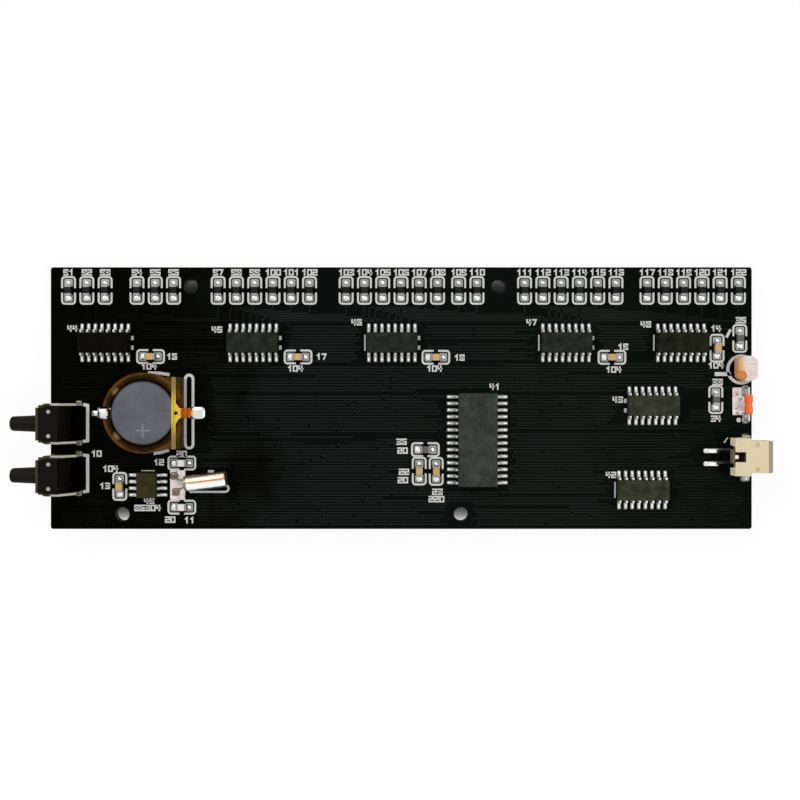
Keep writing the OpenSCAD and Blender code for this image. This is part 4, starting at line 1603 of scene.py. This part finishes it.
@dataclass
class CircuitBoard:
    """The bare board: its mask, the tracks under the mask and the vias at their ends."""

    track_w: float = 0.27
    track_t: float = 0.02
    lane_pitch: float = 0.36
    lane_from: float = 14.9
    row_pitch: float = 0.56
    rows: Pair = (-24.3, 14.1)
    row_ends: Pair = (-65.5, 66.0)
    least_run: float = 5.0
    longest_run: float = 46.0
    kept: float = 0.88
    bent: float = 0.2
    margin: float = 0.7
    ragged: float = 2.0
    via_d: float = 0.5
    via_rise: float = 0.1
    holes: tuple[Point, ...] = ((-53.7, -22.35), (11.5, -22.35))
    hole_half: float = 1.35
    seed: int = 6
    paths: list[list[Point]] = field(default_factory=list)
    vias: list[Point] = field(default_factory=list)

    def build(self) -> None:
        """Dresses the board and lays its tracks."""
        dress(MASK, Edge.EASED, "circuit_board")
        self.column_tracks()
        self.row_tracks()
        level = REAR + self.track_t / 2
        paths = [[(x, y, level) for x, y in path] for path in self.paths]
        Grown.laid("tracks", paths, self.track_w, self.track_t, TRACK_MASK, Slot.BOARD)
        size = (self.via_d, self.via_d, self.via_rise)
        vias = [Stamp(Vector((x, y, REAR)), size) for x, y in self.vias]
        Grown.stamped("vias", Form.RING, vias, TRACK_MASK, Slot.BOARD)

    def column_tracks(self) -> None:
        """Runs a track from each column resistor to its driver, in lanes that never cross."""
        resistors = chip_parts(*RESISTORS)
        for number, driver in enumerate(COLUMN_DRIVERS):
            own = resistors[COLUMNS * number:COLUMNS * (number + 1)]
            upper = [lead.tip for lead in feet(driver) if lead.out.y > 0]
            upper.sort(key=lambda tip: tip.x)
            pairs = [(part.middle, tip) for part, tip in zip(own, upper)]
            rightward = [pair for pair in pairs if pair[0].x < pair[1].x]
            leftward = [pair for pair in pairs if pair[0].x >= pair[1].x]
            for rank, (start, end) in [*enumerate(rightward), *enumerate(reversed(leftward))]:
                lane = self.lane_from + rank * self.lane_pitch
                cut = math.copysign(min(self.lane_pitch, abs(end.x - start.x) / 2), end.x - start.x)
                self.paths.append([
                    (start.x, start.y), (start.x, lane + abs(cut)), (start.x + cut, lane),
                    (end.x - cut, lane), (end.x, lane - abs(cut)), (end.x, end.y),
                ])

    def taken(self) -> list[Box]:
        """Places on the component side that the rows go round."""
        nodes = [*CHIPS, *(f"{chip}_leads" for chip in CHIPS), *(f"{button}_bracket" for button in BUTTONS)]
        nodes += ["battery_holder", "positive_contact", "negative_contact", "crystal_can", "crystal_leads"]
        nodes += ["power_header_pins", "power_header_housing", "light_sensor_disc", "temperature_leads"]
        parts = [part for node in ("capacitor_caps", "small_resistor_caps") for part in solids(node)]
        half = Vector((self.hole_half, self.hole_half, 0))
        holes = [Box(on_board(*hole) - half, on_board(*hole) + half) for hole in self.holes]
        return [node_box(node) for node in nodes] + parts + holes

    def row_tracks(self) -> None:
        """Runs rows of tracks along the board, broken where parts are in the way."""
        chance = random.Random(self.seed)
        taken = self.taken()
        for row in range(int((self.rows[1] - self.rows[0]) / self.row_pitch) + 1):
            y = self.rows[0] + row * self.row_pitch
            near = [box for box in taken if box.low.y - self.margin < y < box.high.y + self.margin]
            stops = sorted((box.low.x - self.margin, box.high.x + self.margin) for box in near)
            at = BOARD.middle.x + self.row_ends[0]
            for low, high in [*stops, (BOARD.middle.x + self.row_ends[1],) * 2]:
                self.runs(chance, at, low, y)
                at = max(at, high)

    def runs(self, chance: random.Random, start: float, end: float, y: float) -> None:
        """Runs tracks along one free stretch of a row.

        Args:
            chance: Source of the runs' lengths.
            start: Left end of the stretch.
            end: Its right end.
            y: Height of the row.
        """
        at = start + chance.uniform(0, self.ragged)
        while end - at > self.least_run:
            latest = end - chance.uniform(0, self.ragged)
            stop = min(latest, at + chance.uniform(self.least_run, self.longest_run))
            if chance.random() < self.kept and stop - at > self.least_run:
                path = [(at, y), (stop, y)]
                if chance.random() < self.bent:
                    bend = self.row_pitch / 2
                    path = [(at, y + bend), (at + bend, y), (stop, y)]
                    self.vias += [path[0], path[-1]]
                self.paths.append(path)
            at = stop + self.row_pitch


Stroke = Sequence[Point]

DIGITS: dict[str, tuple[Stroke, ...]] = {
    "0": (((0, 0), (0, 1), (1, 1), (1, 0), (0, 0)),),
    "1": (((0.2, 0.75), (0.6, 1), (0.6, 0)),),
    "2": (((0, 1), (1, 1), (1, 0.5), (0, 0.5), (0, 0), (1, 0)),),
    "3": (((0, 1), (1, 1), (1, 0), (0, 0)), ((0.2, 0.5), (0.9, 0.5))),
    "4": (((0, 1), (0, 0.45), (1, 0.45)), ((0.75, 1), (0.75, 0))),
    "5": (((1, 1), (0, 1), (0, 0.5), (1, 0.5), (1, 0), (0, 0)),),
    "6": (((1, 1), (0, 1), (0, 0), (1, 0), (1, 0.5), (0, 0.5)),),
    "7": (((0, 1), (1, 1), (0.45, 0)),),
    "8": (((0, 0), (0, 1), (1, 1), (1, 0), (0, 0)), ((0.1, 0.5), (0.9, 0.5))),
    "9": (((1, 0.5), (0, 0.5), (0, 1), (1, 1), (1, 0), (0, 0)),),
}


@dataclass
class Silkscreen:
    """White ink on the component side: outlines, end marks and plain numbers."""

    line: float = 0.37
    thick: float = 0.03
    digit: Pair = (0.7, 0.95)
    digit_gap: float = 0.34
    digit_line: float = 0.28
    half_w: float = 1.24
    half_from: float = 0.62
    half_to: float = 2.57
    half_r: float = 0.55
    resistor_number_y: float = 24.22
    first_resistor: int = 91
    end_at: float = 5.2
    end_half: float = 1.4
    broken: Pair = (0.78, 1.08)
    end_line: float = 0.28
    tick_line: float = 0.5
    clock_mark: Pair = (1.2, 2.75)
    clock_line: float = 0.16
    bold: float = 0.6
    holder_lines: tuple[Stroke, ...] = (
        ((-48.5, 4.85), (-46.6, 4.8), (-44.9, 4.55)),
        ((-47.4, -10.65), (-46.2, -10.45), (-45.0, -10.1)),
    )
    slot_at: Point = (-40.85, -2.6)
    slot_half: float = 0.74
    slot_run: float = 6.3
    slot_line: float = 0.52
    slot_steps: int = 8
    button_mark_x: float = -60.4
    button_mark_foot: float = 0.6
    button_mark_half: Pair = (3.4, 3.5)
    block_r: float = 0.2
    crystal_block: tuple[Point, Pair] = ((-43.05, -16.75), (2.9, 5.7))
    loop_from: Point = (-40.6, -18.05)
    loop_end: Point = (-33.9, -17.4)
    loop_r: float = 0.65
    loop_turn: Pair = (-90, 70)
    loop_steps: int = 6
    loop_line: float = 0.4
    crystal_dash: Stroke = ((-37.0, -14.1), (-36.3, -14.1))
    dash_line: float = 0.45
    sensor_ring: Point = (65.5, 5.52)
    sensor_ring_r: float = 2.6
    sensor_ring_steps: int = 40
    edge_gap: float = 0.3
    sensor_bar: Stroke = ((60.75, 4.63), (63.1, 4.63))
    bar_line: float = 0.75
    sensor_tick: Stroke = ((63.3, 13.0), (62.75, 11.9))
    bead_block: tuple[Point, Pair] = ((65.3, -0.6), (3.0, 5.3))
    bead_dot: Point = (65.0, -4.2)
    dot_d: float = 0.9
    dot_r: float = 0.42
    header_mark: Stroke = ((62.25, -8.5), (62.8, -7.7))
    header_line: float = 0.26
    ink: Shaper = field(default_factory=Shaper)
    fluxed: Shaper = field(default_factory=Shaper)
    numbers: tuple[tuple[float, float, str], ...] = (
        (-63.3, 13.4, "44"), (-35.5, 13.2, "45"), (-8.6, 14.6, "46"), (25.1, 14.6, "47"), (47.1, 14.2, "48"),
        (41.7, -0.3, "43"), (40.4, -14.8, "42"), (18.0, 2.2, "41"),
        (-44.2, 8.0, "16"), (-15.4, 8.0, "17"), (11.2, 7.8, "18"), (42.7, 9.9, "19"),
        (-48.6, 6.1, "104"), (-20.4, 5.7, "104"), (6.4, 5.7, "104"), (40.9, 5.5, "104"),
        (60.6, 13.4, "14"), (60.6, 6.3, "104"), (60.9, 3.1, "33"), (60.6, -3.95, "34"), (65.4, 15.0, "35"),
        (-46.7, -12.35, "12"), (-56.0, -13.6, "104"), (-57.1, -16.9, "13"), (-42.3, -10.75, "20"),
        (-48.84, -21.15, "86304"), (-48.55, -19.8, "49"), (-44.5, -23.4, "20"), (-40.8, -23.5, "11"),
        (0.05, -8.4, "36"), (0.24, -10.1, "20"), (0.53, -14.2, "22"), (0.32, -15.8, "20"),
        (6.96, -18.05, "23"), (6.78, -19.45, "220"), (-58.7, -10.7, "10"),
    )

    def build(self) -> None:
        """Prints the board."""
        for number, part in enumerate(chip_parts(*RESISTORS), start=self.first_resistor):
            self.halves(part)
            self.number(part.middle.x, self.resistor_number_y, str(number))
        for names in (SMALL_RESISTORS, DECOUPLERS, LOAD_CAPACITORS):
            for part in chip_parts(*names):
                self.halves(part)
        for x, y, text in self.numbers:
            self.number(on_board(x, y).x, y, text)
        self.chip_ends()
        self.battery()
        self.buttons()
        self.crystal()
        self.sensors()
        self.header()
        self.ink.piece("silkscreen", INK)
        self.fluxed.piece("silkscreen_blocks", FLUXED_INK)

    def stroke(self, path: Stroke, width: Optional[float] = None, closed: bool = False) -> None:
        """Prints a line along a path."""
        self.ink.ribbon(path, width or self.line, REAR, REAR + self.thick, closed)

    def on(self, path: Stroke) -> list[Point]:
        """Path from the board's middle, moved to the frame."""
        return [(on_board(x, y).x, y) for x, y in path]

    def block(self, at: Point, size: Pair) -> None:
        """Prints a solid block, which flux has stained.

        Args:
            at: Its middle, from the board's middle.
            size: Its length and width.
        """
        middle = on_board(*at)
        self.fluxed.prism(rounded(size, self.block_r), REAR, REAR + self.thick, (middle.x, middle.y))

    def number(self, x: float, y: float, text: str) -> None:
        """Prints a number.

        Args:
            x: Middle of the number.
            y: Middle of its height.
            text: Its digits.
        """
        width, height = self.digit
        step = width + self.digit_gap
        left = x - (step * len(text) - self.digit_gap) / 2
        for place, figure in enumerate(text):
            for path in DIGITS[figure]:
                points = [(left + place * step + u * width, y + (v - 0.5) * height) for u, v in path]
                closed = points[0] == points[-1]
                self.stroke(points[:-1] if closed else points, self.digit_line, closed)

    def halves(self, part: ChipPart) -> None:
        """Prints the two open halves of a chip part's outline."""
        for way in (-1, 1):
            corner = self.half_w - self.half_r
            shoulder = self.half_to - self.half_r
            path = [(self.half_from, -self.half_w)]
            path += arc((shoulder, -corner), self.half_r, -90, 0, CORNER_STEPS)
            path += arc((shoulder, corner), self.half_r, 0, 90, CORNER_STEPS)
            path.append((self.half_from, self.half_w))
            self.stroke([part.place(way * along, way * across) for along, across in path])

    def chip_ends(self) -> None:
        """Prints the marks beside the drivers' ends."""
        whole = {"column_driver_3": -1, "column_driver_4": -1, "row_driver": -1, "row_sink_2": -1}
        broken = {"column_driver_1": 1, "column_driver_2": 1, "column_driver_3": 1, "column_driver_4": 1}
        broken |= {"row_sink_1": -1}
        for chip in DRIVERS:
            middle = node_box(chip).middle
            if chip in whole:
                x = middle.x + whole[chip] * self.end_at
                self.stroke([(x, middle.y - self.end_half), (x, middle.y + self.end_half)], self.end_line)
            if chip in broken:
                x = middle.x + broken[chip] * self.end_at
                for way in (-1, 1):
                    self.stroke([(x, middle.y + way * at) for at in self.broken], self.tick_line)
        clock = node_box("clock_chip").middle
        half, above = self.clock_mark
        path = [(clock.x - half, clock.y + above), (clock.x + half, clock.y + above)]
        self.stroke(path, self.clock_line)

    def battery(self) -> None:
        """Prints the lines over and under the holder, and the slot beside its contact."""
        for line in self.holder_lines:
            self.stroke(self.on(line), self.bold)
        slot = on_board(*self.slot_at)
        path = arc((slot.x, slot.y + self.slot_run), self.slot_half, 0, 180, self.slot_steps)
        path += arc((slot.x, slot.y - self.slot_run), self.slot_half, 180, 360, self.slot_steps)
        self.stroke(path, self.slot_line, True)

    def buttons(self) -> None:
        """Prints a bracket behind each button."""
        inner, outer = self.button_mark_half
        x = on_board(self.button_mark_x, 0).x
        foot = x - self.button_mark_foot
        for button in BUTTONS:
            axis = node_box(f"{button}_plunger").middle.y
            path = [(foot, axis - outer), (x, axis - inner), (x, axis + inner), (foot, axis + outer)]
            self.stroke(path, self.bold)

    def crystal(self) -> None:
        """Prints the block under the crystal's leads and the loop round its can."""
        self.block(*self.crystal_block)
        loop = [self.loop_from, *arc(self.loop_end, self.loop_r, *self.loop_turn, self.loop_steps)]
        self.stroke(self.on(loop), self.loop_line)
        self.stroke(self.on(self.crystal_dash), self.dash_line)

    def sensors(self) -> None:
        """Prints the light sensor's circle and bar, and the block under the bead."""
        ring = on_board(*self.sensor_ring)
        edge = BOARD.high.x - self.edge_gap
        open_angle = math.degrees(math.acos(min(1.0, (edge - ring.x) / self.sensor_ring_r)))
        turn = (open_angle, 360 - open_angle)
        self.stroke(arc((ring.x, ring.y), self.sensor_ring_r, *turn, self.sensor_ring_steps), self.bold)
        self.stroke(self.on(self.sensor_bar), self.bar_line)
        self.stroke(self.on(self.sensor_tick), self.tick_line)
        self.block(*self.bead_block)
        dot = on_board(*self.bead_dot)
        outline = rounded((self.dot_d, self.dot_d), self.dot_r)
        self.ink.prism(outline, REAR, REAR + self.thick, (dot.x, dot.y))

    def header(self) -> None:
        """Prints the slanted mark beside the header's first pin."""
        self.stroke(self.on(self.header_mark), self.header_line)


@dataclass
class Lands:
    """Tinned lands and solder of every part that is soldered to the component side."""

    land_t: float = 0.04
    chip_land: Pair = (1.5, 1.6)
    chip_land_at: float = 1.42
    chip_mounds: tuple[Triple, ...] = ((1.45, 1.4, 0.8), (1.05, 1.0, 0.8))
    lead_land: Pair = (2.0, 0.64)
    lead_past: float = 0.7
    lead_mound: Triple = (0.95, 0.5, 0.5)
    lead_mound_past: float = 0.22
    positive: Joint = Joint((-1.0, 0.0), (3.0, 2.45), 0.42)
    negative: tuple[Joint, ...] = (
        Joint((1.2, -0.15), (2.6, 2.3), 0.9), Joint((-0.15, -0.1), (2.2, 1.15), 0.35),
    )
    bracket: Joint = Joint((-0.6, 0.0), (1.3, 1.0), 0.45)
    bracket_past: float = 0.1
    crystal: Joint = Joint((0.2, 0.0), (1.5, 1.5), 0.35)
    crystal_pads: Pair = (-18.05, -14.96)
    pin: Joint = Joint((1.4, -0.28), (3.2, 1.05), 0.72)
    lower_anchor: Joint = Joint((0.1, -0.4), (1.9, 1.7), 0.6)
    upper_anchor: Joint = Joint((0.1, 0.1), (1.4, 0.9), 0.6)
    sensor_lead: Joint = Joint((0.0, 0.0), (1.3, 1.3), 0.35)
    sensor_lead_in: float = 0.25
    short_lead: float = 1.0
    lands: list[Stamp] = field(default_factory=list)
    mounds: list[Stamp] = field(default_factory=list)

    def build(self) -> None:
        """Tins the board."""
        for names in (RESISTORS, SMALL_RESISTORS, DECOUPLERS, LOAD_CAPACITORS):
            for part in chip_parts(*names):
                self.chip(part)
        for chip in CHIPS:
            for lead in feet(chip):
                self.lead(lead)
        Grown.stamped("lands", Form.LAND, self.lands, LAND, Slot.TIN)
        Grown.stamped("solder_fillets", Form.MOUND, self.mounds, SOLDER, Slot.TIN)
        self.large()

    def chip(self, part: ChipPart) -> None:
        """Tins both ends of a chip part."""
        for way, mound in zip((-1, 1), self.chip_mounds):
            x, y = part.place(way * self.chip_land_at, 0)
            self.lands.append(Stamp(Vector((x, y, REAR)), (*self.chip_land, self.land_t), part.turn))
            self.mounds.append(Stamp(Vector((x, y, REAR)), mound, part.turn))

    def lead(self, lead: Lead) -> None:
        """Tins the foot of a lead."""
        turn = math.atan2(lead.out.y, lead.out.x)
        land = lead.tip + lead.out * (self.lead_past - self.lead_land[0] / 2)
        self.lands.append(Stamp(land, (*self.lead_land, self.land_t), turn))
        self.mounds.append(Stamp(lead.tip + lead.out * self.lead_mound_past, self.lead_mound, turn))

    def large(self) -> None:
        """Solders the battery holder, buttons, crystal, header and sensors."""
        solder, dull, matt = Shaper(), Shaper(), Shaper()
        right, left = node_box("positive_contact"), node_box("negative_contact")
        self.positive.fill(solder, (right.high.x, right.middle.y))
        for joint in self.negative:
            joint.fill(solder, (left.low.x, left.middle.y))
        for button in BUTTONS:
            bracket = node_box(f"{button}_bracket")
            for y in (bracket.low.y - self.bracket_past, bracket.high.y + self.bracket_past):
                self.bracket.fill(dull, (bracket.high.x, y))
        leads = sorted(solids("crystal_leads"), key=lambda lead: lead.middle.y)
        for lead, y in zip(leads, self.crystal_pads):
            self.crystal.fill(dull, (lead.low.x, y))
        for pin in solids("power_header_pins"):
            self.pin.fill(solder, (pin.low.x, pin.middle.y))
        lower, upper = sorted(solids("power_header_anchors"), key=lambda anchor: anchor.middle.y)
        self.lower_anchor.fill(matt, across(lower))
        self.upper_anchor.fill(dull, across(upper))
        for lead in solids("light_sensor_leads") + solids("temperature_leads"):
            ends = (lead.low.y + self.sensor_lead_in, lead.high.y - self.sensor_lead_in)
            for y in (lead.middle.y,) if lead.size.y < self.short_lead else ends:
                self.sensor_lead.fill(matt, (lead.middle.x, y))
        matt.piece("matt_solder", LAND, slot=Slot.TIN, smooth=True)
        dull.piece("dull_solder", DULL_SOLDER, slot=Slot.TIN, smooth=True)
        solder.piece("large_solder", SOLDER, slot=Slot.TIN, smooth=True)


@dataclass
class Lamps:
    """The front's lamps: white packages with terminals, and a die and bond wire in each filled cup."""

    terminal: Triple = (0.12, 2.0, 0.85)
    terminal_gap: float = 0.02
    die: Triple = (0.34, 0.34, 0.12)
    floor: Triple = (1.5, 1.1, 0.03)
    floor_back: float = 0.15
    wire: float = 0.04
    wire_bends: tuple[Point, ...] = ((0.0, 0.0), (0.2, 0.16), (0.5, 0.08))
    wire_end: Point = (0.7, 0.01)

    def build(self) -> None:
        """Dresses the lamps and fills their cups."""
        blocks = [f"lamp_block_{number}" for number in range(1, BLOCKS + 1)]
        dress(LAMP, Edge.MOULDED, *blocks)
        dress(RESIN, Edge.SHARP, "lamp_fillings")
        cups = solids("lamp_fillings")
        terminals, dies, floors, wires = [], [], [], []
        for block in blocks:
            for lamp in solids(block):
                for way in (-1, 1):
                    x = lamp.middle.x + way * (lamp.size.x / 2 + self.terminal[0] / 2 + self.terminal_gap)
                    foot = Vector((x, lamp.middle.y, FRONT - self.terminal[2]))
                    terminals.append(Stamp(foot, self.terminal))
        for cup in cups:
            base = Vector((cup.middle.x, cup.middle.y, cup.high.z))
            floors.append(Stamp(base - Vector((self.floor_back, 0, self.floor[2])), self.floor))
            dies.append(Stamp(base - Vector((0, 0, self.floor[2] + self.die[2])), self.die))
            top = base.z - self.floor[2] - self.die[2]
            wire = [(base.x + reach, base.y, top - rise) for reach, rise in self.wire_bends]
            wires.append([*wire, (base.x + self.wire_end[0], base.y, base.z - self.wire_end[1])])
        Grown.stamped("lamp_terminals", Form.BLOCK, terminals, LEAD, Slot.LEADS)
        Grown.stamped("lamp_die_pads", Form.LAND, floors, LEAD, Slot.LEADS)
        Grown.stamped("lamp_dies", Form.BLOCK, dies, DIE, Slot.LEADS)
        Grown.laid("lamp_bond_wires", wires, self.wire, self.wire, BOND, Slot.GILT)


@dataclass
class Chips:
    """Moulded packages and chip parts."""

    def build(self) -> None:
        """Dresses the parts."""
        dress(SHADED_FIRST_DRIVER, Edge.MOULDED, "column_driver_1")
        dress(PACKAGE, Edge.MOULDED, "column_driver_2", "column_driver_3", "column_driver_4")
        dress(ROW_PACKAGE, Edge.MOULDED, "row_driver")
        dress(SINK_PACKAGE, Edge.MOULDED, "row_sink_1", "row_sink_2")
        dress(CLOCK, Edge.MOULDED, "clock_chip")
        dress(CONTROLLER, Edge.EASED, "controller")
        dress(LEAD, Edge.STAMPED, *(f"{chip}_leads" for chip in CHIPS))
        dress(RESISTOR, Edge.MOULDED, "column_resistors")
        dress(GREY_GLAZE, Edge.MOULDED, "small_resistors")
        dress(TAN, Edge.MOULDED, "decoupling_capacitors")
        dress(PALE, Edge.MOULDED, "load_capacitors")
        dress(END_CAP, Edge.EASED, "column_resistor_caps", "small_resistor_caps", "capacitor_caps")


@dataclass
class Crystal:
    """Tubular crystal that lies on the board."""

    def build(self) -> None:
        """Dresses the crystal."""
        dress(CAN, Edge.SHARP, "crystal_can")
        dress(STEM, Edge.MOULDED, "crystal_stem")
        dress(DULL_SOLDER, Edge.SHARP, "crystal_leads")


@dataclass
class Battery:
    """Coin cell in its holder, between two sprung contacts."""

    mark: float = 2.6
    mark_line: float = 0.3
    mark_rise: float = 0.03
    mark_drop: float = 3.3

    def build(self) -> None:
        """Dresses the holder and marks the cell's plus side."""
        dress(HOLDER, Edge.HOLDER, "battery_holder")
        dress(CELL, Edge.SHARP, "coin_cell_can", "coin_cell_cap")
        dress(GASKET, Edge.SHARP, "coin_cell_gasket")
        dress(GILT, Edge.STAMPED, "positive_contact")
        dress(LEAD, Edge.STAMPED, "negative_contact")
        cell = node_box("coin_cell_can")
        half, arm = self.mark / 2, self.mark_line / 2
        quarter = [(half, -arm), (half, arm), (arm, arm)]
        cross = [
            (x * math.cos(a) - y * math.sin(a), x * math.sin(a) + y * math.cos(a))
            for a in (0, math.pi / 2, math.pi, math.pi * 1.5) for x, y in quarter
        ]
        plus = Shaper()
        at = (cell.middle.x, cell.middle.y - self.mark_drop)
        plus.prism(cross, cell.high.z, cell.high.z + self.mark_rise, at)
        plus.piece("cell_plus_mark", EMBOSSED, slot=Slot.CELL)


@dataclass
class Buttons:
    """Two side-pressed buttons at the board's left edge."""

    rivet: Triple = (0.78, 0.78, 0.36)
    rivet_back: float = 2.05
    rivet_half: float = 2.25

    def build(self) -> None:
        """Dresses both buttons and heads their rivets."""
        heads = []
        for button in BUTTONS:
            housing = node_box(f"{button}_housing")
            for way in (-1, 1):
                y = housing.middle.y + way * self.rivet_half
                heads.append(Stamp(Vector((housing.low.x + self.rivet_back, y, housing.high.z)), self.rivet))
            dress(HOUSING, Edge.HOUSING, f"{button}_housing")
            dress(PLUNGER, Edge.SHARP, f"{button}_plunger")
            dress(BRACKET, Edge.STAMPED, f"{button}_bracket")
            dress(DOME, Edge.SHARP, f"{button}_dome")
            dress(LEAD, Edge.STAMPED, f"{button}_terminals")
        Grown.stamped("button_rivet_heads", Form.MOUND, heads, RIVET, Slot.BRACKET)


@dataclass
class Header:
    """Power header that looks over the board's right edge."""

    nub: Joint = Joint((0.36, 0.0), (0.62, 0.66), 0.16)
    nub_drop: float = 0.3
    key: float = 0.72
    key_from: float = 4.2
    key_half: float = 2.3
    key_depth: float = 0.15
    key_t: float = 0.03

    def build(self) -> None:
        """Dresses the header, its latch nub with a painted highlight and the floors of its key marks with
        painted shade.
        """
        dress(HEADER, Edge.SOFT, "power_header_housing")
        dress(SHADED_HEADER_PIN, Edge.MOULDED, "power_header_pins")
        dress(LAND, Edge.MOULDED, "power_header_anchors")
        box = HEADER_BOX
        cap = Shaper()
        self.nub.fill(cap, (box.low.x, box.middle.y), box.high.z - self.nub_drop)
        cap.piece("latch_nub_cap", NUB_HIGHLIGHT, slot=Slot.HEADER, smooth=True)
        # Key floors in painted shade.
        floor = box.high.z - self.key_depth
        keys = [
            Stamp(Vector((box.low.x + self.key_from, box.middle.y + way * self.key_half, floor)),
                  (self.key, self.key, self.key_t))
            for way in (-1, 1)
        ]
        Grown.stamped("key_floors", Form.LAND, keys, KEY_FLOOR_SHADE, Slot.HEADER)


@dataclass
class Sensors:
    """Light sensor and temperature bead at the board's right edge."""

    drop: Triple = (2.1, 1.9, 0.9)
    drop_at: Point = (-1.3, -1.35)

    def build(self) -> None:
        """Dresses the sensors, with a drop of lacquer on the one that sees light."""
        disc = node_box("light_sensor_disc")
        top = node_box("light_sensor_pane").high.z
        at = Vector((disc.middle.x + self.drop_at[0], disc.middle.y + self.drop_at[1], top))
        Grown.stamped("sensor_lacquer_drop", Form.MOUND, [Stamp(at, self.drop)], LACQUER)
        dress(SENSOR, Edge.SOFT, "light_sensor_disc")
        dress(SENSOR, Edge.MOULDED, "light_sensor_pane")
        dress(LEAD, Edge.SHARP, "light_sensor_leads", "temperature_leads")
        dress(BEAD, Edge.SHARP, "temperature_bead")


def main() -> None:
    """Builds the stage and every sub-assembly."""
    logging.basicConfig(level=logging.INFO, format="%(name)s: %(message)s")
    assemblies = (
        Stage(), CircuitBoard(), Silkscreen(), Lands(), Lamps(), Chips(), Crystal(), Battery(), Buttons(),
        Header(), Sensors(),
    )
    for assembly in assemblies:
        assembly.build()
        LOG.info("%s done", type(assembly).__name__)


if __name__ == "__main__":
    main()
